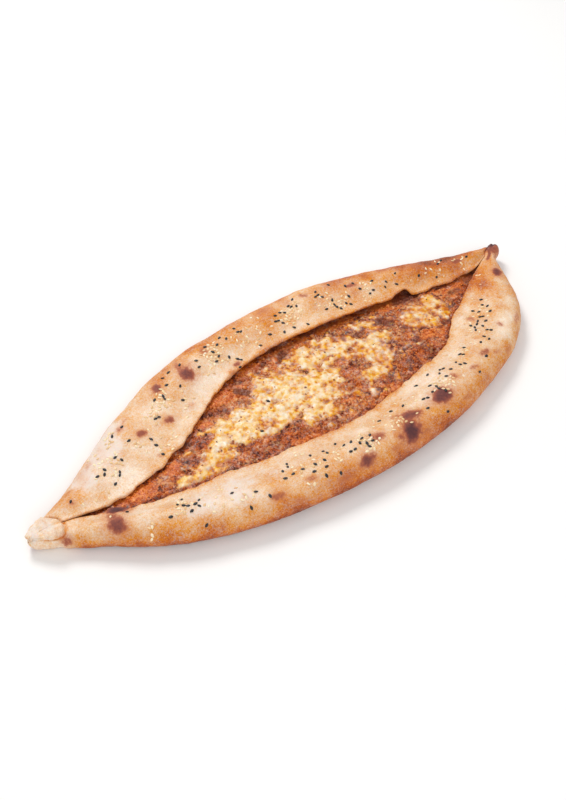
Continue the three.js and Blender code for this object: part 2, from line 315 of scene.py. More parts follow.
def boat():
    near, far = side_columns(1), side_columns(0)
    n = len(T)
    middle = cut["middle"]
    cols = [(middle, cut["base"], np.full(n, -2.0), 1)]
    cols += [(*c, 1) for c in near]
    cols += [(middle, cut["floor"], np.full(n, 4.2), 1)]
    cols += [(*c, 0) for c in reversed(far)]
    k = len(cols)
    p = np.zeros((n, k, 3))
    q = np.zeros((n, k))
    side = np.zeros((n, k))
    for j, (xy, z, qq, sd) in enumerate(cols):
        p[:, j, :2], p[:, j, 2], q[:, j], side[:, j] = xy, z, qq, sd
    v = p.reshape(-1, 3)
    i, j = np.meshgrid(np.arange(n - 1), np.arange(k), indexing="ij")
    a = i * k + j
    b = i * k + (j + 1) % k
    faces = np.stack([a, a + k, b + k, b], -1).reshape(-1, 4)
    # each end closes on its own middle
    ends = []
    extra = []
    for row, turn in ((0, 0), (n - 1, 1)):
        extra.append(p[row].mean(0))
        c = n * k + len(extra) - 1
        for jj in range(k):
            x, y = row * k + jj, row * k + (jj + 1) % k
            ends.append((c, x, y) if not turn else (c, y, x))
    v = np.vstack([v, extra])
    # both ends are rounded off
    for first, full, least in ((0.0, 0.75, 0.30), (LAST, LAST - 0.6, 0.45)):
        rows = np.nonzero((T - full) * (first - full) > 0)[0]
        f = np.abs(T[rows] - full) / abs(first - full)
        size = mix(least, 1.0, np.sqrt(np.clip(1 - f**2.2, 0, 1)))
        for row, sc in zip(rows, size):
            c = v[row * k:(row + 1) * k].mean(0)
            v[row * k:(row + 1) * k] = c + (v[row * k:(row + 1) * k] - c) * sc
    q = np.concatenate([q.ravel(), [0.5, 0.5]])
    side = np.concatenate([side.ravel(), [0, 0]])
    along = np.concatenate([np.repeat(T, k), [0, LAST]])
    tris = np.vstack([faces[:, [0, 1, 2]], faces[:, [0, 2, 3]], np.array(ends)])
    return v, tris, q, side, along, k


def normals(v, tris):
    n = np.cross(v[tris[:, 1]] - v[tris[:, 0]], v[tris[:, 2]] - v[tris[:, 0]])
    out = np.zeros_like(v)
    for c in range(3):
        for a in range(3):
            out[:, a] += np.bincount(tris[:, c], n[:, a], len(v))
    return out / (np.linalg.norm(out, axis=1)[:, None] + 1e-12)


def volume(v, tris):
    return np.einsum("ij,ij->i", v[tris[:, 0]], np.cross(v[tris[:, 1]], v[tris[:, 2]])).sum() / 6


dv, dt, dq, dside, dalong, COLUMNS = boat()
if volume(dv, dt) < 0:
    dt = dt[:, ::-1].copy()
dn = normals(dv, dt)
tree = BVHTree.FromPolygons([tuple(p) for p in dv], [tuple(int(x) for x in f) for f in dt])


def hit(u, v, bvh=None):
    """the point of the bread that the photograph shows at a place, with its normal"""
    co, no, index, dist = (bvh or tree).ray_cast(Vector(eye), Vector(ray(u, v)))
    if co is None:
        return None, None
    return np.array(co), np.array(no)


# places on the crust, in the photograph's frame of 566 x 800: (x, y, half width, half height, turn, strength)
SPOTS = [
    (186, 373, 10, 8.5, 20, 0.75), (178, 367, 7, 4, 15, 0.45), (157, 389, 6.5, 5.5, -30, 0.7), (202, 351, 4, 3, 0, 0.5),
    (261, 313, 9, 4, -15, 0.3), (169, 420, 7.5, 4.5, 0, 0.62), (141, 434, 7, 3.8, 0, 0.62), (120, 429, 5, 3, -30, 0.45),
    (161, 455, 6, 3, 0, 0.3), (72, 503, 4, 3, 0, 0.42), (68, 494, 7, 2.2, -45, 0.3), (117, 524, 12.5, 11, 20, 0.72), (112, 516, 9, 5, 0, 0.5),
    (117, 509.5, 12, 3.4, -8, 1.0), (66.5, 541.5, 6.5, 5.2, 25, 0.5), (66, 539, 8, 7, 10, 0.3), (278, 496, 9, 6, -10, 0.5),
    (285, 302, 8, 5, -15, 0.25), (303, 295, 6, 3, -10, 0.45), (351, 285, 7, 3, -10, 0.5), (456, 261, 8, 3.5, -10, 0.55),
    (413, 266, 7, 3, -10, 0.3), (497, 272, 5, 5.5, -30, 0.8), (491.5, 247, 5.5, 3.2, -35, 0.95), (489, 256, 2.2, 6.5, 25, 0.62), (495, 257, 1.6, 5, 10, 0.4), (471, 319, 6, 3, 10, 0.4), (500, 324, 5, 2.5, 10, 0.4),
    (476, 338, 5, 2.5, 0, 0.25), (484, 352, 6.5, 4, -30, 0.5), (496, 351, 5, 3, 0, 0.35), (474, 367, 6, 3, -15, 0.4),
    (454, 376, 7, 3.2, 0, 0.42), (442, 395, 12, 8, -25, 0.88), (411, 415, 13, 5, -12, 0.72), (411, 431, 11.5, 11.5, 0, 1.0),
    (367, 460, 9.5, 7.5, -20, 0.75), (378, 436, 9, 5, 0, 0.5), (312, 478, 9, 3.2, -15, 0.4), (237, 364, 5, 2.6, -25, 0.55),
    (395, 418, 9, 3, -10, 0.35), (425, 432, 9, 5, -20, 0.4), (246, 496, 4, 2.4, 0, 0.3), (500, 262, 3, 6, 0, 0.4),
    (233, 321, 7, 3, -25, 0.3), (212, 333, 6, 3, -30, 0.3), (330, 281, 7, 2.4, -12, 0.35), (381, 270, 8, 2.2, -10, 0.35),
    (436, 261, 6, 2.4, -10, 0.4), (174, 362, 5, 3, -40, 0.3), (516, 318, 3, 9, 0, 0.35), (508, 350, 4, 7, 25, 0.3),
    (280, 299, 8, 3, -20, 0.3), (88, 466, 3, 8, 35, 0.25), (205, 352, 6, 2.6, -30, 0.4), (466, 398, 8, 3, -35, 0.35), (190, 406, 9, 4, -20, 0.26), (232, 372, 5, 3, 20, 0.3),
    (124, 421, 6, 1.6, -50, 0.3), (300, 500, 8, 3, -10, 0.3), (345, 480, 10, 4, -18, 0.34), (400, 446, 12, 4, -25, 0.32),
]
# broad paler and browner parts: (x, y, radius, change)
TINTS = [
    (480, 340, 30, 0.05), (400, 400, 24, 0.04), (64, 540, 8, 0.35), (130, 450, 13, 0.10), (165, 405, 10, -0.12), (310, 308, 14, 0.10),
    (170, 500, 20, 0.05), (262, 335, 20, 0.10), (300, 293, 14, -0.22), (445, 266, 22, 0.22), (412, 274, 16, 0.12), (480, 282, 16, 0.28), (494, 296, 14, 0.20),
    (474, 318, 10, 0.12), (340, 478, 26, 0.14), (290, 500, 22, 0.14), (400, 440, 26, 0.12), (495, 372, 20, 0.08), (180, 492, 10, 0.06), (250, 482, 22, -0.10), (210, 490, 14, -0.08),
    (205, 388, 14, -0.10), (430, 385, 22, -0.06), (105, 490, 14, 0.12), (75, 505, 10, 0.18), (85, 532, 12, 0.10), (175, 350, 16, 0.18),
    (245, 316, 10, -0.12), (510, 322, 12, -0.10), (150, 375, 12, 0.12), (210, 345, 16, 0.12), (236, 388, 8, 0.14), (150, 460, 14, 0.08),
]
# bumps and hollows: (x, y, radius mm, height mm)
BUMPS = [
    (230, 376, 4.5, 1.3), (239, 364, 3.4, 0.9), (186, 373, 7, 0.6), (157, 389, 5, 0.6), (169, 420, 5, 0.5),
    (141, 434, 5, 0.5), (118, 522, 8, 0.5), (411, 431, 9, 0.8), (442, 395, 7, 0.6), (367, 460, 7, 0.5),
    (279, 452, 6, 1.1), (196, 485, 5, 0.8), (411, 288, 4, 0.9), (100, 450, 16, -0.7), (205, 390, 12, -0.5),
    (300, 465, 14, -0.5), (430, 388, 12, -0.5), (330, 305, 12, -0.4), (150, 500, 10, -0.5), (480, 300, 10, -0.5),
    (262, 352, 5, 0.6), (180, 446, 5, 0.8), (56, 529, 5, 0.9), (122, 420, 3, 0.5), (127, 411, 3, 0.5),
]
image = to_image(dv)


turned = np.einsum("ij,ij->i", dn, (eye - dv) / np.linalg.norm(eye - dv, axis=1)[:, None])
shown = turned > 0


def near_point(u, v, reach):
    """which crust points lie within reach of the place that the photograph shows there"""
    co, no = hit(u, v)
    if co is None:
        for r in (2, 4, 6):
            for k in range(8):
                co, no = hit(u + r * math.cos(k * 0.785), v + r * math.sin(k * 0.785))
                if co is not None:
                    break
            if co is not None:
                break
    if co is None:
        return None, None, None
    d = np.linalg.norm(dv - co, axis=1)
    return np.nonzero((d < reach) & (dn @ no > -0.2))[0], co, no


push = np.zeros(len(dv))
for u, v, r, h in BUMPS:
    idx, co, no = near_point(u, v, 3 * r)
    if idx is not None:
        push[idx] += h * np.exp(-((np.linalg.norm(dv[idx] - co, axis=1) / r) ** 2))

warp = np.stack([fractal(dv, 5.0, 201), fractal(dv, 5.0, 301)], 1)
fine = fractal(dv, 2.4, 401)
char = np.zeros(len(dv))
for u, v, ru, rv, turn, strength in SPOTS:
    idx, co, no = near_point(u, v, 4.5 * max(ru, rv) + 4)
    if idx is None:
        continue
    ru, rv = 1.28 * ru, 1.28 * rv
    c, s = math.cos(math.radians(turn)), math.sin(math.radians(turn))
    d = image[idx] - (u, v) + warp[idx] * 0.30 * min(ru, rv) + warp[idx] * 0.8
    e = np.hypot((d[:, 0] * c + d[:, 1] * s) / ru, (-d[:, 0] * s + d[:, 1] * c) / rv) + 0.12 * fine[idx]
    # where the crust turns away, a spot ends at its own size
    e = np.maximum(e, np.linalg.norm(dv[idx] - co, axis=1) / (1.15 * max(ru, rv)) + 0.10 * fine[idx])
    core = strength * (1 - ease(0.22, 1.16, e))
    halo = 0.30 * strength * (1 - ease(0.8, 1.8, e))
    char[idx] = np.maximum(char[idx], np.maximum(core, halo))
# burns on the parts that the photograph doesn't show: the far outer side and the underside
for k in range(46):
    under = k >= 20
    pick = np.nonzero((dq < -1.15) if under else (~shown & (dside == 0) & (dq > -0.6) & (dq < 0.7) & (dalong > 3) & (dalong < 17)))[0]
    co = dv[rng.choice(pick)]
    r = rng.uniform(3, 7)
    near = np.nonzero(np.linalg.norm(dv - co, axis=1) < 2 * r)[0]
    e = np.linalg.norm(dv[near] - co, axis=1) / r + 0.25 * warp[near, 0]
    char[near] = np.maximum(char[near], rng.uniform(0.25, 0.7) * (1 - ease(0.3, 1.25, e)) * (1 - ease(-0.5, -0.05, turned[near])))

# how brown the crust is, with painted shade mixed in: palest on the folds, more orange over the crest, brownest low on
# the outer side, where the darkest band next to the table is painted shade; deep brown inside the pocket
near_side = np.interp(dq, [-2.2, -1.2, -0.9, -0.35, 0.0, 0.35, 0.7, 0.95, 1.12, 1.35, 1.76, 1.86, 1.93, 2.03, 2.2, 4.2],
                      [0.75, 0.85, 1.12, 1.10, 0.98, 0.74, 0.48, 0.34, 0.27, 0.22, 0.24, 0.35, 0.52, 0.80, 1.0, 1.0])
far_side = np.interp(dq, [-2.2, -1.2, -0.9, -0.35, 0.0, 0.4, 0.8, 1.0, 1.25, 1.5, 1.78, 1.88, 1.93, 2.03, 2.2, 4.2],
                     [0.75, 0.85, 1.0, 0.92, 0.82, 0.74, 0.62, 0.49, 0.38, 0.31, 0.27, 0.36, 0.52, 0.82, 1.0, 1.0])
x = dv[:, 0] - SHIFT[0]
far_side = far_side * mix(0.62, 1.0, ease(-120, -20, x)) + 0.18 * ease(30, 110, x) * (dq > 0) * (dq < 1.9)
near_side = near_side + 0.06 * ease(90, 170, x) * ease(0.9, 1.1, dq) * (dq < 1.9) - 0.24 * ease(40, 130, x) * ease(-0.9, -0.5, dq) * (1 - ease(0.8, 1.1, dq))
near_side = near_side - 0.16 * (1 - ease(-90, 40, x)) * ease(-0.3, 0.3, dq) * (1 - ease(0.95, 1.15, dq))
# painted shade: darker still low on the near outer side towards the blunt end, where it meets the table
near_side = near_side + 0.30 * (1 - ease(-40, 60, x)) * (1 - ease(-0.75, -0.25, dq)) * ease(-1.1, -0.9, dq)
toast_and_shade = np.where(dside == 1, near_side, far_side)
toast_and_shade = toast_and_shade + 0.24 * fractal(dv, 26, 501, 2) + 0.26 * fractal(dv, 9, 511, 2) * (dq < 1.95)
for u, v, r, w in TINTS:
    idx, co, no = near_point(u, v, 75)
    if idx is not None:
        toast_and_shade[idx] += 1.45 * w * np.exp(-((np.hypot(*(image[idx] - (u, v)).T) / r) ** 2)) * (dq[idx] < 1.95) * (dq[idx] > -0.5)
# the blunt nub stays pale and doughy, the slender tail is browned right through
blunt = 1 - ease(-196, -184, x + 0.25 * (dv[:, 1] - 14))
tail = ease(17.3, 19.1, dalong)
toast_and_shade = mix(toast_and_shade, 0.14 + 0.16 * fine, blunt)
toast_and_shade = np.maximum(toast_and_shade, tail * (1.15 + 0.30 * fractal(dv, 4, 611, 2)))
# flour dust, partly painted sheen: the pale patches on the flap tops also stand in for soft highlights
flour_and_sheen = np.zeros(len(dv))
for u, v, r, w in ((100, 448, 26, 1.25), (82, 478, 20, 1.0), (108, 430, 16, 0.9), (46, 526, 13, 0.85), (120, 425, 15, 0.6), (165, 400, 14, 0.3), (36, 533, 10, 0.9), (66, 505, 10, 0.4), (150, 455, 18, 0.25)):
    idx, co, no = near_point(u, v, 60)
    if idx is not None:
        d = np.maximum(np.hypot(*(image[idx] - (u, v)).T) / r, np.linalg.norm(dv[idx] - co, axis=1) / (0.95 * r))
        flour_and_sheen[idx] = np.maximum(flour_and_sheen[idx], w * np.exp(-(d**2)))
for u, v, r, w in ((206, 500, 22, 0.8), (240, 485, 24, 0.85), (275, 470, 20, 0.55), (350, 424, 18, 0.3), (405, 398, 26, 0.42), (460, 345, 22, 0.36), (330, 442, 24, 0.42), (265, 470, 22, 0.42), (495, 312, 14, 0.3), (300, 300, 18, 0.35), (130, 450, 20, 0.22), (196, 512, 17, 0.7)):
    idx, co, no = near_point(u, v, 70)
    if idx is not None:
        d = np.maximum(np.hypot(*(image[idx] - (u, v)).T) / r, np.linalg.norm(dv[idx] - co, axis=1) / (0.95 * r))
        flour_and_sheen[idx] = np.maximum(flour_and_sheen[idx], w * np.exp(-(d**2)))
band = np.exp(-(((dq + 0.30) / 0.22) ** 2)) * (1 - ease(0, 90, x)) * (dside == 1)
flour_and_sheen = np.maximum(flour_and_sheen, 0.38 * band * (0.6 + 0.4 * fractal(dv, 7, 701, 2)))
flour_and_sheen = np.maximum(flour_and_sheen, 0.5 * (dq < -1.0) * (0.5 + 0.5 * fractal(dv, 9, 711, 2)))
flour_and_sheen = np.where(dq > -1.0, flour_and_sheen * ease(-0.7, 0.5, turned) * (0.9 + 0.5 * fractal(dv, 8, 721, 2)), flour_and_sheen)
flour_and_sheen = np.clip(flour_and_sheen, 0, 1)

# relief: slow swells, small blisters and grain; the underside stays flat
solid = ease(-1.05, -0.75, dq) * (1 - ease(1.98, 2.3, dq)) * ease(0, 0.35, dalong) * (1 - ease(19.65, 19.95, dalong))
swell = 0.45 * fractal(dv, 15, 801, 2) + 0.26 * fractal(dv, 5.5, 811, 2) + 0.11 * fractal(dv, 2.4, 821, 2)
# fine wrinkles across the near side where it turns towards the tail
pleat = np.stack([dalong * 9.0, dq * 3.0, 0 * dq], 1)
swell = swell + 0.22 * noise(pleat, 1.0, 861) * ease(13.6, 14.8, dalong) * (1 - ease(17.0, 17.8, dalong)) * (dside == 1)
# the nub: a pressed knot of pale dough, folded over the start of the near side
knot = np.abs(image + 1.6 * warp - (43.0, 529.5)) / (20.8, 11.0)
knot = (knot[:, 0] ** 2.6 + knot[:, 1] ** 2.6) ** (1 / 2.6)
facing = ease(0.0, 0.35, turned)
left_end = 1 - ease(-178, -168, x)
on_knot = (1 - ease(0.93, 1.03, knot)) * facing * left_end
groove_by = np.exp(-(((knot - 1.09) / 0.07) ** 2)) * facing * left_end * ease(37, 52, image[:, 0])
lumps = blunt * (1.4 * np.abs(fractal(dv * (1, 1, 1.3), 6.0, 831, 2)) - 0.4) + 1.7 * on_knot - 1.3 * groove_by
lumps = lumps + on_knot * 0.8 * fractal(dv, 3.2, 833, 2)
# painted shade: the groove round the knot is darkened as a crease line; the knot itself gets mottled browning
toast_and_shade = toast_and_shade + (0.62 * groove_by + 0.20 * on_knot * fractal(dv, 4.0, 835, 2)) * (blunt + 0.4 * (1 - blunt))
blister = np.clip(fractal(dv, 3.6, 841, 1) - 0.72, 0, 1) * 1.6
scorch = 0.22 * char * fractal(dv, 1.9, 851, 2)
tips = ease(1.2, 3.2, dalong) * (1 - ease(17.6, 19.4, dalong))
# the slender end: pressed together into a rounded, well browned knob
knob = np.hypot((image[:, 0] - 491.8) / 6.4, (image[:, 1] - 250.5) / 8.6) + 0.05 * warp[:, 0]
on_knob = (1 - ease(0.6, 1.35, knob)) * ease(17.4, 18.4, dalong)
lumps = lumps + on_knob * np.where(dside == 1, 1.6 + 0.9 * ease(1.2, 1.9, dq), -0.9 * ease(0.3, 1.0, dq))
scorched = (1 - ease(0.35, 1.9, knob)) * ease(16.9, 19.2, dalong) * (0.62 + 0.38 * ease(-0.5, 0.6, turned))
char = np.maximum(char, scorched * (0.78 + 0.55 * fractal(dv, 4.0, 871, 3)))
closed = ease(16.6, 17.4, dalong) * (dq > 1.80)
toast_and_shade = toast_and_shade * (1 - 0.35 * closed * (1 - on_knob))
around = np.concatenate([np.tile(np.arange(COLUMNS) * 2 * math.pi / COLUMNS, len(T)), [0, 0]])
twist = ease(17.9, 19.0, dalong) * 0.5 * np.sin(2 * around + 2.6 * dalong) * (1 - ease(19.6, 19.9, dalong))
push = solid * (push + swell * mix(0.5, 1, tips) + lumps + 0.5 * blister + scorch + twist)
dv2 = dv + dn * push[:, None]
# the skin stays above the table
dv2[:, 2] = np.maximum(dv2[:, 2], 0.0)
dough = mesh_object("bread", dv2, dt, {"toast_and_shade": np.clip(toast_and_shade, 0, 1.4), "char": np.clip(char, 0, 1), "flour_and_sheen": flour_and_sheen, "place": dq})
dn2 = normals(dv2, dt)
tree2 = BVHTree.FromPolygons([tuple(p) for p in dv2], [tuple(int(x) for x in f) for f in dt])


# ---------------------------------------------------------------------------------------------------------
# the filling: where cheese and meat lie, as strokes in the photograph's frame (x0, y0, x1, y1, radius, weight)
# ---------------------------------------------------------------------------------------------------------
CHEESE_AT = [
    (258, 382, 300, 358, 7, 0.6), (260, 396, 300, 380, 11, 1), (248, 417, 300, 400, 13, 1.15), (215, 430, 265, 425, 9, 0.95),
    (203, 432, 230, 438, 6, 0.8), (222, 445, 245, 438, 9, 0.95), (215, 455, 232, 450, 6, 0.8), (203, 468, 222, 465, 6, 1.1),
    (176, 484, 198, 478, 5, 1.0), (143, 485, 165, 477, 5, 0.85), (186, 435, 205, 430, 5, 0.85), (160, 470, 174, 462, 3.5, 0.5), (275, 415, 300, 408, 9, 1.1), (295, 388, 330, 375, 12, 0.95),
    (295, 405, 325, 398, 12, 1.05), (300, 420, 315, 418, 5, 0.8), (310, 365, 340, 352, 9, 0.66), (338, 348, 385, 344, 7, 0.85),
    (370, 356, 398, 358, 6, 0.7), (362, 372, 395, 373, 6, 0.72), (338, 324, 376, 318, 7, 0.62), (378, 326, 396, 340, 7, 0.55),
    (408, 350, 418, 346, 5, 0.4), (393, 318, 412, 314, 7, 0.5), (420, 298, 436, 303, 8, 0.85), (418, 318, 440, 318, 7, 0.6), (427, 304, 433, 314, 6, 0.8),
    (330, 385, 345, 380, 6, 0.7), (335, 400, 358, 412, 6, 0.45), (302, 352, 335, 336, 7, 0.6), (400, 330, 412, 335, 4, 0.4),
    (425, 345, 436, 341, 4, 0.35), (350, 395, 378, 392, 5, 0.35), (262, 372, 285, 366, 4, 0.4), (290, 352, 312, 336, 5, 0.35),
]
MEAT_AT = [
    (205, 418, 228, 404, 9, 1), (222, 392, 262, 364, 12, 1.1), (214, 408, 244, 394, 7, 0.8), (262, 362, 284, 352, 7, 1), (236, 398, 250, 400, 6, 0.9),
    (183, 450, 176, 474, 8, 1), (188, 447, 208, 438, 6, 1), (196, 456, 190, 474, 6, 0.9), (160, 472, 128, 496, 7, 0.8),
    (165, 494, 203, 486, 3.5, 0.9), (140, 500, 170, 489, 5, 0.9), (230, 470, 262, 458, 8, 1), (250, 446, 275, 450, 9, 1.1),
    (268, 442, 300, 430, 8, 1.1), (287, 345, 340, 325, 4, 0.7), (372, 312, 415, 297, 7, 1), (376, 321, 396, 322, 5, 0.85),
    (354, 336, 366, 333, 4, 0.7), (384, 342, 402, 347, 4, 0.6), (418, 352, 440, 344, 9, 1.1), (413, 336, 447, 328, 6, 1),
    (398, 368, 424, 358, 8, 1.05), (385, 381, 405, 380, 6, 0.9), (344, 371, 361, 370, 5, 0.8), (340, 389, 395, 392, 8, 0.62),
    (340, 402, 372, 402, 5, 0.6), (318, 427, 348, 418, 7.5, 1.1), (296, 441, 330, 431, 6, 1), (444, 318, 452, 334, 4, 0.9),
    (440, 290, 470, 276, 9, 1.1), (450, 302, 460, 292, 6, 1), (275, 450, 300, 440, 8, 1.1), (345, 415, 375, 402, 4.5, 0.9),
    (395, 392, 375, 404, 5, 0.9), (228, 398, 258, 372, 6, 0.9), (330, 358, 345, 362, 3, 0.4), (400, 300, 416, 294, 5, 1),
]
OIL_AT = [
    (275, 365, 291, 368, 3.5, 1), (292, 352, 294, 364, 3.5, 0.9), (274, 356, 280, 350, 3, 0.8), (243, 376, 256, 368, 4, 0.8), (300, 440, 330, 430, 3, 0.5),
    (208, 404, 250, 390, 7, 1), (225, 398, 240, 392, 6, 1), (283, 353, 305, 343, 5, 1), (380, 393, 398, 386, 5, 0.8), (372, 308, 397, 304, 4, 1),
    (424, 335, 441, 331, 4, 1), (440, 296, 458, 288, 5, 0.8), (163, 478, 176, 466, 4, 0.9), (122, 500, 150, 490, 6, 1),
    (295, 443, 320, 436, 3, 0.8), (320, 332, 350, 320, 3.5, 0.8), (460, 283, 468, 277, 4, 0.6), (262, 372, 275, 362, 4, 0.5),
    (340, 405, 372, 398, 4, 0.5), (424, 303, 436, 307, 4, 0.6), (250, 428, 272, 422, 6, 0.7), (203, 469, 214, 466, 4, 0.6),
    (290, 380, 300, 376, 4, 0.6), (300, 398, 312, 402, 4, 0.6), (200, 424, 216, 420, 4, 0.7), (388, 369, 400, 366, 3, 0.6),
    (270, 366, 284, 372, 3, 0.7), (330, 345, 350, 330, 4, 0.4), (236, 420, 250, 414, 3, 0.5), (150, 488, 163, 482, 3, 0.6),
]
# dark parts of the filling: scorched meat in spots, and painted shadow in strokes along the far lip's edge and under
# its curled-up corner
BURN_AND_SHADE_AT = [
    (282.5, 356.5, 285, 362, 5.2, 1.25), (236, 391, 252, 394, 3.4, 0.9), (204, 417, 224, 409, 5.5, 0.5), (380, 321, 390, 323, 4, 0.7),
    (396, 301, 414, 294, 5, 0.95), (243, 402, 248, 403, 4, 0.5), (450, 293, 458, 290, 3, 0.6), (354, 336, 362, 333, 3, 0.6),
    (300, 336, 335, 323, 3, 0.6), (270, 352, 280, 347, 3, 0.6), (160, 499, 178, 492, 3, 0.5), (415, 296, 419, 299, 3, 0.5),
    (230, 388, 262, 366, 3.4, 0.45), (262, 364, 300, 340, 3, 0.45), (335, 323, 396, 299, 2.6, 0.5), (180, 448, 190, 444, 3, 0.7),
    (418, 340, 432, 350, 6, 0.4), (400, 364, 418, 360, 5, 0.35), (302, 432, 345, 420, 5, 0.35), (250, 452, 280, 444, 6, 0.35),
    (466, 280, 474, 270, 4, 0.7), (184, 462, 192, 452, 4, 0.4), (440, 326, 448, 320, 3, 0.6),
]


def strokes(table, uv):
    out = np.zeros(len(uv))
    for x0, y0, x1, y1, r, w in table:
        a, d = np.array([x0, y0], float), np.array([x1 - x0, y1 - y0], float)
        f = np.clip(((uv - a) @ d) / (d @ d), 0, 1)
        gap = np.linalg.norm(uv - a - f[:, None] * d, axis=1) / r
        out = np.maximum(out, w * (1 - ease(0.35, 1.75, gap)))
    return out


lip_far, lip_near = cut["sides"][0]["lip"], cut["sides"][1]["lip"]
X0, X1 = -168.0 + SHIFT[0], 178.0 + SHIFT[0]
order_f, order_n = np.argsort(lip_far[:, 0]), np.argsort(lip_near[:, 0])


def y_far(x):
    return np.interp(x, lip_far[order_f, 0], lip_far[order_f, 1])


def y_near(x):
    return np.interp(x, lip_near[order_n, 0], lip_near[order_n, 1])


def tucked(x):
    return np.interp(x, lip_far[order_f, 0], (TUCK * cut["open"] - 0.9)[order_f])


def floor_at(x):
    return np.interp(x, lip_far[order_f, 0], cut["floor"][order_f])


def meat_base(x, y):
    yf, yn = y_far(x), y_near(x)
    v = np.clip((yf - y) / np.maximum(yf - yn, 1e-3), 0, 1)
    fade = np.clip(np.minimum(x - X0, X1 - x) / 30, 0, 1)
    under = np.clip(np.maximum(y - yf, yn - y) / 6.0, 0, 1)
    return MEAT_LIP + MEAT_DOME * np.sin(math.pi * v) ** 0.8 * fade - (MEAT_LIP - MEAT_EDGE + 0.1) * under


def laid(x, y):
    """where cheese was strewn thick (towards 1) or left out (below 0)"""
    uv = to_image(np.stack([x, y, np.full_like(x, 11.0)], 1))
    return strokes(CHEESE_AT, uv) - 1.15 * strokes(MEAT_AT, uv)


def cover(x, y):
    """how much cheese lies at a place, 0 to 1"""
    p = np.stack([x, y, np.full_like(x, 11.0)], 1)
    c = 0.485 + 0.28 * laid(x, y)
    c = c + 0.20 * noise(p, 9.0, 901) + 0.40 * noise(p, 4.6, 911) + 0.34 * noise(p, 2.4, 921)
    inside = np.minimum(y_far(x) - y, y - y_near(x))
    return np.clip(c, 0, 1) * ease(1.0, 4.5, inside) * ease(X0 + 38, X0 + 50, x) * (1 - ease(X1 - 22, X1 - 13, x))


def meat_relief(x, y):
    p = np.stack([x, y, 0 * x], 1)
    lumps = 0.80 * np.abs(noise(p, 3.4, 931)) + 0.46 * np.abs(noise(p, 1.8, 941)) + 0.25 * noise(p, 11, 951) - 0.38
    inside = np.minimum(y_far(x) - y, y - y_near(x))
    return lumps * 1.15 * mix(0.25, 1, ease(-2, 2.5, inside))


def grid_solid(name, x0, x1, y0, y1, step, keep, top, bottom, attributes=None):
    """a closed sheet over the grid cells that keep() takes, between two height functions of (x, y)"""
    nx, ny = int((x1 - x0) / step), int((y1 - y0) / step)
    gx, gy = np.meshgrid(x0 + step * np.arange(nx + 1), y0 + step * np.arange(ny + 1), indexing="ij")
    cx, cy = gx[:-1, :-1] + step / 2, gy[:-1, :-1] + step / 2
    cell = keep(cx.ravel(), cy.ravel()).reshape(nx, ny)
    cell[0, :] = cell[-1, :] = cell[:, 0] = cell[:, -1] = False
    for _ in range(6):
        # cells that touch only at a corner are joined
        a, b, c, d = cell[:-1, :-1], cell[1:, 1:], cell[1:, :-1], cell[:-1, 1:]
        m = a & b & ~c & ~d
        n = c & d & ~a & ~b
        if not m.any() and not n.any():
            break
        cell[1:, :-1] |= m
        cell[:-1, :-1] |= n
    used = np.zeros((nx + 1, ny + 1), bool)
    used[:-1, :-1] |= cell
    used[1:, :-1] |= cell
    used[:-1, 1:] |= cell
    used[1:, 1:] |= cell
    index = np.full((nx + 1, ny + 1), -1)
    index[used] = np.arange(used.sum())
    px, py = gx[used], gy[used]
    n = len(px)
    zt = top(px, py)
    zb = np.minimum(bottom(px, py), zt - 0.15)
    v = np.vstack([np.stack([px, py, zt], 1), np.stack([px, py, zb], 1)])
    i, j = np.nonzero(cell)
    a, b, c, d = index[i, j], index[i + 1, j], index[i + 1, j + 1], index[i, j + 1]
    quads = [np.stack([a, b, c, d], 1), np.stack([a + n, d + n, c + n, b + n], 1)]
    pad = np.zeros((nx + 2, ny + 2), bool)
    pad[1:-1, 1:-1] = cell
    for di, dj, p, q in ((0, -1, a, b), (1, 0, b, c), (0, 1, c, d), (-1, 0, d, a)):
        edge = ~pad[i + 1 + di, j + 1 + dj]
        quads.append(np.stack([q[edge], p[edge], p[edge] + n, q[edge] + n], 1))
    quads = np.vstack(quads)
    extra = {}
    for key, fn in (attributes or {}).items():
        values = fn(px, py, zt)
        extra[key] = np.concatenate([values, values])
    ob = mesh_object(name, v, quads, extra)
    return ob, (gx, gy)


def meat_top(x, y):
    return meat_base(x, y) + meat_relief(x, y)


def table_of(fn, step=0.4):
    xs = np.arange(X0 - 4, X1 + 4, step)
    ys = np.arange(-60, 70, step)
    gx, gy = np.meshgrid(xs, ys, indexing="ij")
    z = fn(gx.ravel(), gy.ravel()).reshape(gx.shape)

    def look(x, y):
        i = np.clip((np.asarray(x) - xs[0]) / step, 0, len(xs) - 1.001)
        j = np.clip((np.asarray(y) - ys[0]) / step, 0, len(ys) - 1.001)
        a, b = i.astype(int), j.astype(int)
        f, g = i - a, j - b
        return (z[a, b] * (1 - f) * (1 - g) + z[a + 1, b] * f * (1 - g) + z[a, b + 1] * (1 - f) * g + z[a + 1, b + 1] * f * g)

    return look, xs, ys, z


meat_z, XS, YS, _ = table_of(meat_top)
cover_at, _, _, COVER = table_of(cover)


def on_image(table):
    def fn(x, y, z):
        return strokes(table, to_image(np.stack([x, y, z], 1)))

    return fn


def meat_keep(x, y):
    r = tucked(x)
    return (x > X0) & (x < X1) & (y < y_far(x) + r) & (y > y_near(x) - r)


meat, _ = grid_solid("meat", X0 - 1.6, X1 + 1.6, -60, 70, 0.75, meat_keep, meat_top, lambda x, y: np.maximum(5.4, floor_at(x) + 0.25),
                     {"oil": on_image(OIL_AT), "burn": on_image(BURN_AND_SHADE_AT), "cover": lambda x, y, z: cover_at(x, y)})

# ---- melted cheese: run together, thin over the meat, with browned dots and pools of yellow oil ----
STEP = 0.4
gxx, gyy = np.meshgrid(XS, YS, indexing="ij")
flat = np.stack([gxx.ravel(), gyy.ravel(), 0 * gxx.ravel()], 1)


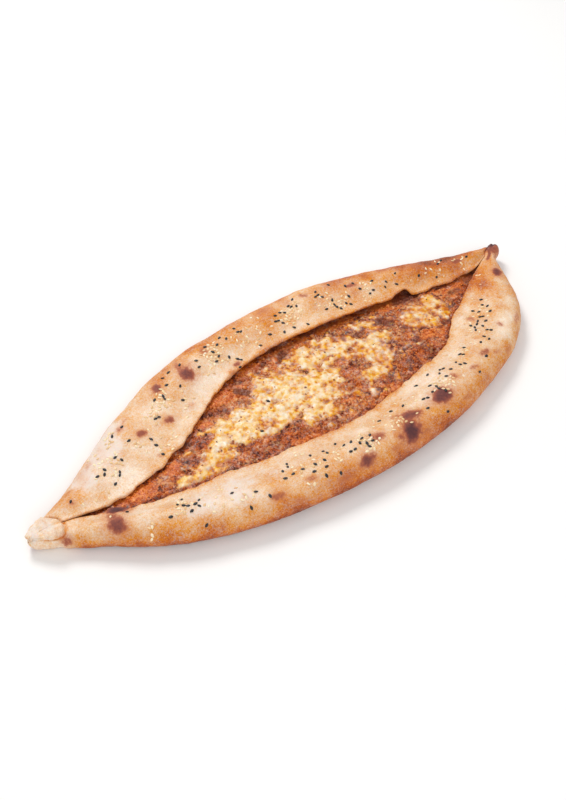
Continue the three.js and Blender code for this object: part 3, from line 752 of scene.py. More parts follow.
def field(size, seed):
    return noise(flat, size, seed).reshape(COVER.shape)


thick = np.clip((COVER - 0.50) / 0.42, -1, 1)
height = np.zeros(COVER.shape)
strewn = np.clip(laid(gxx.ravel(), gyy.ravel()).reshape(COVER.shape), 0, 1.15)
tone = 0.23 + 0.36 * ease(-0.15, 0.9, thick) + 0.17 * strewn + 0.17 * field(3.4, 963) + 0.06 * field(1.5, 965)
# towards the tail the cheese is thinner and browner
tone = tone - 0.23 * ease(5, 55, gxx) - 0.02 * ease(90, 130, gxx)
gilt = 0.55 * np.clip(field(5.0, 981) - 0.35, 0, 1) * ease(-0.1, 0.4, thick)
reach = 8
offsets = np.array([(a, b) for a in range(-reach, reach + 1) for b in range(-reach, reach + 1)])


def blur(a, passes):
    for _ in range(passes):
        a = a.copy()
        a[1:-1, :] = 0.25 * a[:-2, :] + 0.5 * a[1:-1, :] + 0.25 * a[2:, :]
        a[:, 1:-1] = 0.25 * a[:, :-2] + 0.5 * a[:, 1:-1] + 0.25 * a[:, 2:]
    return a


def dab(x, y, radius, high, shade, strength=1.0, ratio=1.0, turn=0.0, edge=0.45):
    """one soft pat pressed into the height and colour grids"""
    i, j = int(round((x - XS[0]) / STEP)), int(round((y - YS[0]) / STEP))
    if not (reach < i < len(XS) - reach - 1 and reach < j < len(YS) - reach - 1):
        return
    ii, jj = i + offsets[:, 0], j + offsets[:, 1]
    dx, dy = XS[ii] - x, YS[jj] - y
    c, sn = math.cos(turn), math.sin(turn)
    d = np.hypot((dx * c + dy * sn) / radius, (-dx * sn + dy * c) / (radius * ratio))
    h = high * np.sqrt(np.clip(1 - d * d, 0, 1))
    here = height[ii, jj]
    height[ii, jj] = np.maximum(here, h) if high > 0 else here + h
    w = strength * (1 - ease(edge, 1.15, d))
    tone[ii, jj] = mix(tone[ii, jj], shade, w)


def gild(x, y, radius, strength, ratio, turn):
    """a drop of clear golden fat on the cheese"""
    i, j = int(round((x - XS[0]) / STEP)), int(round((y - YS[0]) / STEP))
    if not (reach < i < len(XS) - reach - 1 and reach < j < len(YS) - reach - 1):
        return
    ii, jj = i + offsets[:, 0], j + offsets[:, 1]
    dx, dy = XS[ii] - x, YS[jj] - y
    c, sn = math.cos(turn), math.sin(turn)
    d = np.hypot((dx * c + dy * sn) / radius, (-dx * sn + dy * c) / (radius * ratio))
    gilt[ii, jj] = np.maximum(gilt[ii, jj], strength * (1 - ease(0.2, 1.15, d)))


def places(count, low, high):
    """random spots of the filling, where the cheese lies between two strengths"""
    w = (ease(low, low + 0.12, COVER) * (1 - ease(high, high + 0.12, COVER))).ravel()
    for k in rng.choice(len(w), count, p=w / w.sum()):
        i, j = divmod(int(k), len(YS))
        yield XS[i] + rng.uniform(-0.2, 0.2), YS[j] + rng.uniform(-0.2, 0.2), COVER[i, j]


# pools of yellow oil
for x, y, c in places(420, 0.42, 1.2):
    dab(x, y, rng.uniform(0.8, 2.4), 0.0, rng.uniform(0.38, 0.52), rng.uniform(0.35, 0.9), rng.uniform(0.45, 1), rng.uniform(0, 3.1), 0.2)
# shreds that haven't quite run together
for x, y, c in places(1500, 0.46, 1.2):
    shade = rng.normal(0.74, 0.10) + 0.30 * (min(c, 1.1) - 0.8)
    heading, bend = rng.uniform(0, 2 * math.pi), rng.normal(0, 0.25)
    radius, high = rng.uniform(0.38, 0.70), rng.uniform(0.12, 0.55)
    strength = rng.uniform(0.35, 0.95)
    long = int(rng.uniform(2.0, 7.0) / 0.45)
    for q in range(long):
        taper = math.sin(math.pi * (q + 1) / (long + 1)) ** 0.4
        dab(x, y, radius * (0.75 + 0.25 * taper), high * taper, shade, 0.42 * strength, 1, 0, 0.3)
        heading += bend + rng.normal(0, 0.22)
        x += 0.45 * math.cos(heading)
        y += 0.45 * math.sin(heading)
# pale pats: raised pale cheese, partly painted highlight on the bumps
for x, y, c in places(420, 0.52, 1.2):
    dab(x, y, rng.uniform(1.0, 2.9), rng.uniform(0.2, 0.6), rng.uniform(0.84, 1.04) + 0.35 * (min(c, 1.1) - 0.9), rng.uniform(0.3, 0.75), rng.uniform(0.5, 1), rng.uniform(0, 3.1), 0.2)
tone = blur(tone, 2)
# golden fat
for x, y, c in places(520, 0.44, 1.2):
    gild(x, y, 0.7 + 1.2 * rng.random() ** 1.5, rng.uniform(0.4, 1.0), rng.uniform(0.5, 1), rng.uniform(0, 3.1))
# meat coming through in rounded patches
for x, y, c in places(170, 0.42, 0.92):
    dab(x, y, rng.uniform(1.0, 2.3), -rng.uniform(0.1, 0.4), rng.uniform(0.10, 0.28), rng.uniform(0.6, 1.0), rng.uniform(0.55, 1), rng.uniform(0, 3.1), 0.1)
# browned dots
for x, y, c in places(520, 0.36, 1.3):
    dab(x, y, 0.8 + 1.4 * rng.random() ** 1.5, rng.uniform(0.15, 0.6), rng.uniform(0.14, 0.38), rng.uniform(0.45, 1.0), rng.uniform(0.5, 1), rng.uniform(0, 3.1), 0.05)
# pits where the meat shows
for x, y, c in places(110, 0.40, 1.2):
    dab(x, y, rng.uniform(0.5, 1.0), -rng.uniform(0.3, 0.9), rng.uniform(0.05, 0.28), 0.8, rng.uniform(0.5, 1), rng.uniform(0, 3.1), 0.3)


sheet = blur(0.80 * thick + 0.8 * height, 2) + 0.07 * field(1.2, 967)
rise = blur(height, 1)


def table_look(z):
    def look(x, y):
        i = np.clip((np.asarray(x) - XS[0]) / STEP, 0, len(XS) - 1.001)
        j = np.clip((np.asarray(y) - YS[0]) / STEP, 0, len(YS) - 1.001)
        a, b = i.astype(int), j.astype(int)
        f, g = i - a, j - b
        return (z[a, b] * (1 - f) * (1 - g) + z[a + 1, b] * f * (1 - g) + z[a, b + 1] * (1 - f) * g + z[a + 1, b + 1] * f * g)

    return look


sheet_at, rise_at, tone_at, gilt_at = table_look(sheet), table_look(rise), table_look(blur(tone, 1)), table_look(gilt)
smooth_meat = table_look(blur(meat_top(gxx.ravel(), gyy.ravel()).reshape(gxx.shape), 5))


def cheese_top(x, y):
    return smooth_meat(x, y) + 0.12 + sheet_at(x, y)


cheese, _ = grid_solid("melted_cheese", X0 + 30, X1 - 3, -50, 50, 0.55,
                       lambda x, y: (cheese_top(x, y) > meat_z(x, y) - 0.08) & (cover_at(x, y) > 0.30),
                       cheese_top, lambda x, y: np.minimum(smooth_meat(x, y), meat_z(x, y)) - 0.7,
                       {"oil": on_image(OIL_AT), "rise": lambda x, y, z: rise_at(x, y), "cover": lambda x, y, z: cover_at(x, y),
                        "tone": lambda x, y, z: tone_at(x, y), "gilt": lambda x, y, z: gilt_at(x, y)})


# ---------------------------------------------------------------------------------------------------------
# many small things as one mesh
# ---------------------------------------------------------------------------------------------------------
def icosphere(level):
    g = (1 + 5**0.5) / 2
    v = [(-1, g, 0), (1, g, 0), (-1, -g, 0), (1, -g, 0), (0, -1, g), (0, 1, g), (0, -1, -g), (0, 1, -g), (g, 0, -1), (g, 0, 1), (-g, 0, -1), (-g, 0, 1)]
    f = [(0, 11, 5), (0, 5, 1), (0, 1, 7), (0, 7, 10), (0, 10, 11), (1, 5, 9), (5, 11, 4), (11, 10, 2), (10, 7, 6), (7, 1, 8),
         (3, 9, 4), (3, 4, 2), (3, 2, 6), (3, 6, 8), (3, 8, 9), (4, 9, 5), (2, 4, 11), (6, 2, 10), (8, 6, 7), (9, 8, 1)]
    v = [np.array(p, float) / np.linalg.norm(p) for p in v]
    for _ in range(level):
        seen, g2 = {}, []

        def half(a, b):
            key = (min(a, b), max(a, b))
            if key not in seen:
                m = v[a] + v[b]
                v.append(m / np.linalg.norm(m))
                seen[key] = len(v) - 1
            return seen[key]

        for a, b, c in f:
            ab, bc, ca = half(a, b), half(b, c), half(c, a)
            g2 += [(a, ab, ca), (b, bc, ab), (c, ca, bc), (ab, bc, ca)]
        f = g2
    return np.array(v), np.array(f)


def axes_for(n):
    n = n / np.linalg.norm(n)
    a = np.cross(n, (0, 0, 1.0) if abs(n[2]) < 0.9 else (1.0, 0, 0))
    a /= np.linalg.norm(a)
    return a, np.cross(n, a), n


def scatter(name, base_v, base_f, places, covered=False):
    """places: (centre, 3x3 rows of axes times sizes, lumpiness, random number)"""
    V, F, A = [], [], []
    k = 0
    for centre, m, lump, r in places:
        v = base_v * (1 + lump * rng.uniform(-1, 1, (len(base_v), 1))) @ m + centre
        V.append(v)
        F.append(base_f + k)
        A.append(np.full(len(v), r))
        k += len(v)
    attributes = {"rnd": np.concatenate(A)}
    if covered:
        x, y, z = np.vstack(V).T
        attributes.update(cover=cover_at(x, y), oil=on_image(OIL_AT)(x, y, z), burn=on_image(BURN_AND_SHADE_AT)(x, y, z))
    return mesh_object(name, np.vstack(V), np.vstack(F), attributes)


# ---- crumbs of minced meat ----
ico_v, ico_f = icosphere(1)
crumbs = []
tries = 0
while len(crumbs) < 1700 and tries < 40000:
    tries += 1
    x, y = rng.uniform(X0 + 6, X1 - 5), rng.uniform(-42, 46)
    gap = min(y_far(x) - y, y - y_near(x))
    if gap < 0.35:
        continue
    c = float(cover_at(x, y))
    if rng.random() > 1.04 - ease(0.34, 0.60, c):
        continue
    r = 0.5 + 1.3 * rng.random() ** 2.0
    q = rng.normal(size=3)
    a, b, n = axes_for(q)
    m = np.stack([a * r * rng.uniform(0.8, 1.4), b * r * rng.uniform(0.7, 1.1), n * r * rng.uniform(0.6, 1.0)])
    crumbs.append((np.array([x, y, float(meat_z(x, y)) + rng.uniform(-0.65, 0.05) * r]), m, 0.18, rng.random()))
minced = scatter("minced_crumbs", ico_v, ico_f, crumbs, True)

# ---- browned specks on the cheese ----
specks = []
tries = 0
while len(specks) < 130 and tries < 30000:
    tries += 1
    x, y = rng.uniform(X0 + 40, X1 - 10), rng.uniform(-42, 46)
    gap = min(y_far(x) - y, y - y_near(x))
    c = float(cover_at(x, y))
    if gap < 2.0 or c < 0.38 or rng.random() > 0.25 + 0.75 * (noise(np.array([[x, y, 5.0]]), 9, 971)[0] > -0.1):
        continue
    r = 0.35 + 0.6 * rng.random() ** 1.6
    a, b, n = axes_for(rng.normal(size=3) * (0.4, 0.4, 1) + (0, 0, 1.5))
    z = float(cheese_top(np.array([x]), np.array([y]))[0])
    m = np.stack([a * r * rng.uniform(0.9, 1.5), b * r * rng.uniform(0.8, 1.2), n * r * 0.45])
    specks.append((np.array([x, y, z + 0.02]), m, 0.12, rng.random()))
toasted = scatter("toasted_specks", ico_v, ico_f, specks)


# ---------------------------------------------------------------------------------------------------------
# sesame seeds: places in the photograph's frame, and for the dark ones which way each points in it (degrees)
# ---------------------------------------------------------------------------------------------------------
DARK = [
    (437.5, 264, -43), (418.8, 275.5, -72), (436.5, 277.2, -67), (386, 281.8, 33), (352.8, 283.5, 33),
    (396.5, 284.2, 12), (385.2, 287, 61), (360, 288.8, 14), (373.2, 290, -5), (370, 293.5, -30), (318, 295, -34),
    (348.8, 296.2, 45), (315.5, 296.8, -40), (322.2, 297, 19), (481, 299.8, -12), (332.2, 300, 87),
    (346.2, 303.2, 37), (351, 304.2, 15), (334.5, 304.8, 46), (482.2, 305, 9), (487.5, 306, -40),
    (288.2, 306.2, -42), (296.5, 306.2, 70), (336.8, 306.8, 29), (341.2, 308.5, 28), (326.5, 309.2, -24),
    (490.2, 311, -38), (473, 311.2, 4), (478.8, 312, -16), (279.8, 312.8, -1), (284.5, 312.8, -1),
    (275.2, 315.8, -6), (482.8, 316.5, -11), (480, 317, -17), (278.5, 320.8, -13), (485.8, 320.8, -28),
    (477.8, 321.2, -73), (275.8, 321.5, -8), (283.2, 323, 10), (308, 324.2, 20), (477, 324.2, -65),
    (470.8, 325.8, 19), (482.8, 326, 35), (294.2, 327.5, 16), (474.8, 327.5, 67), (234, 328.8, 7),
    (487, 329.8, -9), (491, 330, -2), (475.8, 330.2, 69), (237.8, 332, -12), (284.5, 332, 90), (270, 334.5, -6),
    (484, 336.5, 9), (219.2, 338, -45), (489, 339, -51), (480.8, 342.2, -32), (217, 345, -52),
    (260.5, 345.5, -6), (204.8, 347.2, -18), (464.2, 347.8, -5), (212.8, 352, 21), (459.8, 354.5, -18),
    (463.5, 354.5, 1), (486.2, 356, -28), (218.8, 356.2, -63), (229.2, 357.2, 69), (237.5, 359, 12),
    (241, 359.8, 10), (216.5, 361.5, -16), (456, 362.5, 63), (465, 363.5, 1), (460.2, 364.5, 0),
    (199.2, 367, -29), (240, 367.2, -24), (443.2, 368.8, -23), (450.8, 369.2, -4), (439.8, 370, -70),
    (479.8, 371.8, -44), (439.5, 373.5, 81), (427.5, 375.2, -42), (446.5, 376.2, -7), (166.5, 385.2, -27),
    (430, 385.8, -24), (416, 386, -13), (180.2, 386.2, -83), (436.5, 386.5, 45), (438.8, 388.5, 28),
    (445.8, 390.5, 78), (432.5, 392, -66), (163.2, 396.2, 66), (427.8, 397.8, -15), (164.5, 398.8, 50),
    (423.5, 399.2, -29), (154.5, 400.2, -67), (182.8, 400.2, 1), (403, 406, -66), (427.8, 408.2, -20),
    (391, 411.5, -5), (448, 411.5, -24), (159, 417.2, -19), (155.5, 418.8, -24), (379.2, 421.2, -15),
    (121.8, 427, -44), (369.8, 435.2, -67), (112.2, 436.5, -89), (361.8, 438.5, -40), (151, 439.2, 34),
    (372.8, 440.5, -16), (128.8, 440.8, -32), (351, 442, -79), (360, 443, 48), (367, 443.2, 59),
    (335.2, 444.2, 73), (156.2, 445.2, 12), (343.8, 445.5, -35), (369.5, 446.2, 12), (355.2, 449.2, -38),
    (323.2, 451.5, 5), (351, 451.5, -22), (327.2, 453, 28), (163, 454.2, 10), (310.2, 455.8, 72),
    (115.2, 457.5, -40), (121.8, 460, 40), (324.5, 460, 20), (286.8, 464.2, 71), (315.2, 464.2, 37),
    (326.8, 466.5, -29), (287.8, 467, 55), (302.8, 469.2, -4), (104.5, 469.8, 28), (282.8, 471.5, 53),
    (314.5, 471.5, -18), (119.8, 472, 81), (341, 473.2, 83), (293.2, 474, -33), (104.5, 474.8, -85),
    (119.8, 475.2, -77), (326.5, 475.5, 66), (97.5, 476.8, -30), (285.5, 478.5, -11), (115.5, 484, -51),
    (256, 491.8, -12), (232, 493.2, -33), (270.2, 496, 57), (181.8, 499.8, 60), (199, 500.2, -43),
    (195.5, 503.8, -29), (177.5, 504.8, 31), (183.8, 505.5, 2), (188, 505.8, -9), (199.2, 505.8, 21),
    (251.5, 507.8, 63), (191.8, 511, -42), (127.2, 512, -26), (170.8, 517, -16), (206.8, 525.2, -63),
    (268.2, 401.2, 10), (262.2, 431.2, 10), (127.3, 497, -25),
]
# groups of pale seeds: (x, y, spread, how many)
PALE = [
    (216, 349, 6, 20), (214, 359, 5, 12), (205, 354, 3, 5), (160, 402, 6, 14), (155, 412, 6, 8), (163, 396, 4, 6),
    (285, 318, 7, 12), (296, 309, 5, 9), (290, 313, 5, 6), (117, 468, 5, 8), (112, 455, 6, 6), (181, 507, 6, 16),
    (152, 527, 2.5, 5), (152, 536, 2, 3), (139, 445, 3, 5), (370, 443, 6, 16), (362, 440, 4, 6), (399, 421, 4, 9),
    (444, 379, 5, 12), (436, 385, 5, 8), (450, 385, 5, 6), (108, 440, 8, 8), (100, 462, 8, 8), (245, 340, 14, 10),
    (330, 300, 10, 10), (345, 298, 6, 7), (365, 290, 12, 8), (440, 275, 14, 6), (480, 310, 8, 10), (478, 330, 6, 6),
    (300, 470, 16, 9), (215, 500, 14, 9), (245, 498, 10, 6), (410, 405, 14, 8), (465, 350, 8, 8), (170, 440, 12, 8),
    (185, 400, 10, 6), (320, 462, 10, 6), (335, 455, 8, 5), (390, 420, 8, 6), (260, 330, 12, 6),
]


def seed_shape(around=9, along=8):
    """a flat drop with one pointed end, 1 long"""
    v, f = [(-0.5, 0, 0)], []
    for i in range(1, along):
        s = i / along
        r = math.sin(math.pi * s) ** 0.75 * (1 - 0.30 * s) * 0.35
        for k in range(around):
            a = 2 * math.pi * k / around
            v.append((s - 0.5, r * math.cos(a), r * math.sin(a)))
    v.append((0.5, 0, 0))
    for k in range(around):
        f.append((0, 1 + (k + 1) % around, 1 + k))
    for i in range(along - 2):
        for k in range(around):
            a, b = 1 + i * around + k, 1 + i * around + (k + 1) % around
            f += [(a, b, b + around), (a, b + around, a + around)]
    e = len(v) - 1
    for k in range(around):
        f.append((e, e - around + k, e - around + (k + 1) % around))
    return np.array(v), np.array(f)


seed_v, seed_f = seed_shape()


def frame_on(co, no, direction):
    no = no / np.linalg.norm(no)
    d = direction - no * (direction @ no)
    d /= np.linalg.norm(d)
    return d, np.cross(no, d), no


bvh_fill = []
for ob in (meat, cheese):
    vv = np.empty(len(ob.data.vertices) * 3)
    ob.data.vertices.foreach_get("co", vv)
    vv = vv.reshape(-1, 3) / MM
    bvh_fill.append(BVHTree.FromPolygons([tuple(p) for p in vv], [tuple(p.vertices) for p in ob.data.polygons]))


def first_hit(u, v):
    best = None
    for bvh in (tree2, *bvh_fill):
        co, no, index, dist = bvh.ray_cast(Vector(eye), Vector(ray(u, v)))
        if co is not None and (best is None or dist < best[2]):
            best = (np.array(co), np.array(no), dist)
    return best


dark_places = []
for u, v, turn in DARK:
    got = first_hit(u, v)
    if got is None:
        continue
    co, no, _ = got
    # the seed points the way that the photograph shows, lying in the surface
    k = math.radians(turn)
    d1 = ray(u + 1.5 * math.cos(k), v + 1.5 * math.sin(k))
    den = d1 @ no
    p1 = eye + d1 * (((co - eye) @ no) / den) if abs(den) > 0.12 else co + right
    way = p1 - co
    if np.linalg.norm(way) < 1e-6 or abs(way @ no) > 0.9 * np.linalg.norm(way):
        way = right
    n2 = no + rng.normal(0, 0.13, 3)
    a, b, n = frame_on(co, n2, way * (1 if rng.random() < 0.5 else -1))
    length = rng.uniform(2.78, 3.32)
    m = np.stack([a * length, b * length * rng.uniform(0.88, 1.05), n * length * rng.uniform(0.50, 0.60)])
    dark_places.append((co + n * 0.22, m, 0.02, rng.random()))
# a few on the parts that the photograph doesn't show
top = np.nonzero((dq > 0.75) & (dq < 1.8) & (dalong > 3.5) & (dalong < 16.5))[0]
hidden = [i for i in rng.choice(top, 400) if dn2[i] @ (eye - dv2[i]) < 0 or (dside[i] == 0 and dq[i] < 1.1)]
for i in hidden[:16]:
    a, b, n = frame_on(dv2[i], dn2[i] + rng.normal(0, 0.1, 3), rng.normal(size=3))
    length = rng.uniform(2.78, 3.3)
    dark_places.append((dv2[i] + n * 0.22, np.stack([a * length, b * length * 0.95, n * length * 0.55]), 0.02, rng.random()))
dark_seeds = scatter("dark_seeds", seed_v, seed_f, dark_places)

pale_places = []
taken = [p[0] for p in dark_places]
for cu, cv, spread, count in PALE:
    for _ in range(count):
        for attempt in range(12):
            u, v = rng.normal((cu, cv), spread * 0.62)
            co, no, index, dist = tree2.ray_cast(Vector(eye), Vector(ray(u, v)))
            if co is None or no[2] < 0.35:
                continue
            co, no = np.array(co), np.array(no)
            if min((np.linalg.norm(co - t) for t in taken), default=9) < 1.9:
                continue
            a, b, n = frame_on(co, no + rng.normal(0, 0.16, 3), rng.normal(size=3))
            length = rng.uniform(2.5, 3.1)
            m = np.stack([a * length, b * length * rng.uniform(0.85, 1.0), n * length * rng.uniform(0.42, 0.55)])
            pale_places.append((co + n * 0.10, m, 0.03, rng.random()))
            taken.append(co)
            break
for i in rng.choice(top, 70):
    a, b, n = frame_on(dv2[i], dn2[i] + rng.normal(0, 0.15, 3), rng.normal(size=3))
    length = rng.uniform(2.4, 3.0)
    pale_places.append((dv2[i] + n * 0.05, np.stack([a * length, b * length * 0.9, n * length * 0.48]), 0.03, rng.random()))
pale_seeds = scatter("pale_sesame", seed_v, seed_f, pale_places)


# ---------------------------------------------------------------------------------------------------------
# materials
# ---------------------------------------------------------------------------------------------------------
class Nodes:
    def __init__(self, name):
        self.material = bpy.data.materials.new(name)
        self.material.use_nodes = True
        self.tree = self.material.node_tree
        self.tree.nodes.clear()
        self.out = self.tree.nodes.new("ShaderNodeOutputMaterial")
        self.bsdf = self.tree.nodes.new("ShaderNodeBsdfPrincipled")
        self.tree.links.new(self.bsdf.outputs[0], self.out.inputs[0])
        self.coord = self.tree.nodes.new("ShaderNodeTexCoord").outputs["Object"]

    def link(self, a, b):
        self.tree.links.new(a, b)

    def attribute(self, name):
        n = self.tree.nodes.new("ShaderNodeAttribute")
        n.attribute_name = name
        return n.outputs["Fac"]

    def noise(self, size_mm, detail=2.0, rough=0.5, seed=0.0, stretch=None):
        n = self.tree.nodes.new("ShaderNodeTexNoise")
        n.inputs["Scale"].default_value = 1000.0 / size_mm
        n.inputs["Detail"].default_value = detail
        n.inputs["Roughness"].default_value = rough
        m = self.tree.nodes.new("ShaderNodeMapping")
        m.inputs["Location"].default_value = (seed, seed * 0.7, -seed)
        if stretch:
            m.inputs["Scale"].default_value = stretch
        self.link(self.coord, m.inputs["Vector"])
        self.link(m.outputs[0], n.inputs["Vector"])
        return n.outputs["Fac"]

    def cells(self, size_mm, seed=0.0):
        n = self.tree.nodes.new("ShaderNodeTexVoronoi")
        n.inputs["Scale"].default_value = 1000.0 / size_mm
        m = self.tree.nodes.new("ShaderNodeMapping")
        m.inputs["Location"].default_value = (seed, -seed, seed * 0.3)
        self.link(self.coord, m.inputs["Vector"])
        self.link(m.outputs[0], n.inputs["Vector"])
        return n.outputs["Distance"]

    def math(self, op, a, b=None, c=None, clamp=False):
        n = self.tree.nodes.new("ShaderNodeMath")
        n.operation = op
        n.use_clamp = clamp
        for i, x in enumerate((a, b, c)):
            if x is None:
                continue
            if isinstance(x, (int, float)):
                n.inputs[i].default_value = x
            else:
                self.link(x, n.inputs[i])
        return n.outputs[0]

    def add(self, a, b, clamp=False):
        return self.math("ADD", a, b, clamp=clamp)

    def mul(self, a, b, clamp=False):
        return self.math("MULTIPLY", a, b, clamp=clamp)

    def about(self, x, amount):
        """a noise of 0 to 1 as a change of plus or minus amount"""
        return self.math("MULTIPLY_ADD", x, 2 * amount, -amount)

    def window(self, x, low, high):
        n = self.tree.nodes.new("ShaderNodeMapRange")
        n.interpolation_type = "SMOOTHSTEP"
        n.inputs["From Min"].default_value = low
        n.inputs["From Max"].default_value = high
        self.link(x, n.inputs["Value"])
        return n.outputs["Result"]

    def ramp(self, x, stops):
        n = self.tree.nodes.new("ShaderNodeValToRGB")
        e = n.color_ramp.elements
        while len(e) > 1:
            e.remove(e[0])
        e[0].position = stops[0][0]
        e[0].color = (*lin(*stops[0][1]), 1)
        for pos, rgb in stops[1:]:
            k = e.new(pos)
            k.color = (*lin(*rgb), 1)
        self.link(x, n.inputs[0])
        return n.outputs[0]

    def blend(self, fac, a, b, mode="MIX"):
        n = self.tree.nodes.new("ShaderNodeMix")
        n.data_type = "RGBA"
        n.blend_type = mode
        n.clamp_factor = True
        for socket, x in ((n.inputs[0], fac), (n.inputs[6], a), (n.inputs[7], b)):
            if isinstance(x, (int, float)):
                socket.default_value = x
            elif isinstance(x, tuple):
                socket.default_value = (*lin(*x), 1)
            else:
                self.link(x, socket)
        return n.outputs[2]

    def vary(self, colour, sizes, seed, value=0.04):
        """let the colour wander between greyer and richer, at several sizes"""
        w = None
        for size_mm, amount in sizes:
            part = self.about(self.noise(size_mm, 2, 0.6, seed + size_mm), amount)
            w = part if w is None else self.add(w, part)
        n = self.tree.nodes.new("ShaderNodeHueSaturation")
        self.link(self.math("MAXIMUM", self.add(w, 1.0), 0.15), n.inputs["Saturation"])
        self.link(self.math("MULTIPLY_ADD", w, value, 1.0), n.inputs["Value"])
        self.link(colour, n.inputs["Color"])
        return n.outputs[0]

    def bump(self, height, strength, distance_mm):
        n = self.tree.nodes.new("ShaderNodeBump")
        n.inputs["Strength"].default_value = strength
        n.inputs["Distance"].default_value = distance_mm * MM
        self.link(height, n.inputs["Height"])
        self.link(n.outputs[0], self.bsdf.inputs["Normal"])

    def finish(self, colour, rough, specular=0.5, subsurface=0.0, radius=(1, 0.4, 0.2), scale_mm=1.0, coat=0.0, coat_rough=0.3):
        self.link(colour, self.bsdf.inputs["Base Color"])
        if isinstance(rough, (int, float)):
            self.bsdf.inputs["Roughness"].default_value = rough
        else:
            self.link(rough, self.bsdf.inputs["Roughness"])
        self.bsdf.inputs["Specular IOR Level"].default_value = specular
        if subsurface:
            self.bsdf.inputs["Subsurface Weight"].default_value = subsurface
            self.bsdf.inputs["Subsurface Radius"].default_value = radius
            self.bsdf.inputs["Subsurface Scale"].default_value = scale_mm * MM
        if coat:
            self.bsdf.inputs["Coat Weight"].default_value = coat
            self.bsdf.inputs["Coat Roughness"].default_value = coat_rough
        return self.material


def bread_material():
    k = Nodes("baked_bread")
    toast_and_shade, char, flour_and_sheen = k.attribute("toast_and_shade"), k.attribute("char"), k.attribute("flour_and_sheen")
    big, medium, fine, grain = k.noise(9, 3, 0.55, 3.1), k.noise(3.2, 3, 0.6, 7.7), k.noise(1.25, 2, 0.6, 1.9), k.noise(0.55, 1, 0.5, 5.3)
    t = k.add(toast_and_shade, k.about(big, 0.15))
    t = k.add(t, k.about(medium, 0.15))
    t = k.add(t, k.about(fine, 0.24))
    t = k.add(t, k.about(grain, 0.30))
    t = k.math("MULTIPLY_ADD", t, 1 / 1.6, 0.1 / 1.6, clamp=True)
    colour = k.ramp(t, [((q + 0.1) / 1.6, rgb) for q, rgb in (
        (-0.1, (248, 230, 210)), (0.1, (239, 211, 184)), (0.28, (231, 193, 155)), (0.46, (225, 171, 121)), (0.64, (217, 148, 86)),
        (0.82, (203, 121, 62)), (1.0, (177, 90, 46)), (1.2, (130, 62, 36)), (1.5, (84, 42, 32)))])
    colour = k.vary(colour, ((15, 0.16), (5.0, 0.20), (2.0, 0.36), (0.9, 0.6)), 91.0)
    # pale flour dust caught in the skin, and painted sheen on the flap tops
    dust_and_sheen = k.window(k.add(flour_and_sheen, k.add(k.about(k.noise(1.5, 3, 0.65, 9.9), 0.36), k.about(k.noise(5.5, 2, 0.6, 10.9), 0.30))), 0.30, 0.85)
    dust_and_sheen = k.mul(dust_and_sheen, k.math("MULTIPLY_ADD", k.window(toast_and_shade, 0.35, 0.8), -0.75, 1.0))
    colour = k.blend(k.mul(dust_and_sheen, 0.74), colour, (236, 224, 216))
    # small brown freckles
    freckle = k.window(k.add(k.noise(2.1, 2, 0.6, 12.2), k.mul(toast_and_shade, 0.16)), 0.70, 0.82)
    colour = k.blend(k.mul(freckle, 0.38), colour, (196, 118, 70))
    c = k.add(char, k.mul(k.about(k.noise(1.6, 3, 0.65, 14.1), 0.26), k.window(char, 0.0, 0.35)), clamp=True)
    burnt = k.ramp(c, [(0.0, (214, 148, 98)), (0.25, (202, 122, 76)), (0.5, (164, 88, 62)), (0.75, (122, 64, 56)), (1.0, (86, 46, 48))])
    colour = k.blend(k.window(c, 0.0, 0.55), colour, burnt)
    # the inside of the pocket is coloured deep brown
    inside = k.window(k.attribute("place"), 2.15, 2.5)
    colour = k.blend(inside, colour, k.ramp(fine, [(0.2, (104, 52, 30)), (0.8, (168, 92, 50))]))
    rough = k.math("MULTIPLY_ADD", medium, 0.14, 0.56, clamp=True)
    height = k.add(k.mul(k.noise(1.0, 3, 0.6, 2.2), 0.55), k.mul(k.noise(0.42, 2, 0.6, 4.4), 0.3))
    height = k.add(height, k.mul(k.noise(2.8, 2, 0.5, 6.6), 0.8))
    k.bump(height, 0.5, 0.28)
    return k.finish(colour, rough, 0.32, 0.12, (1, 0.5, 0.25), 1.6)


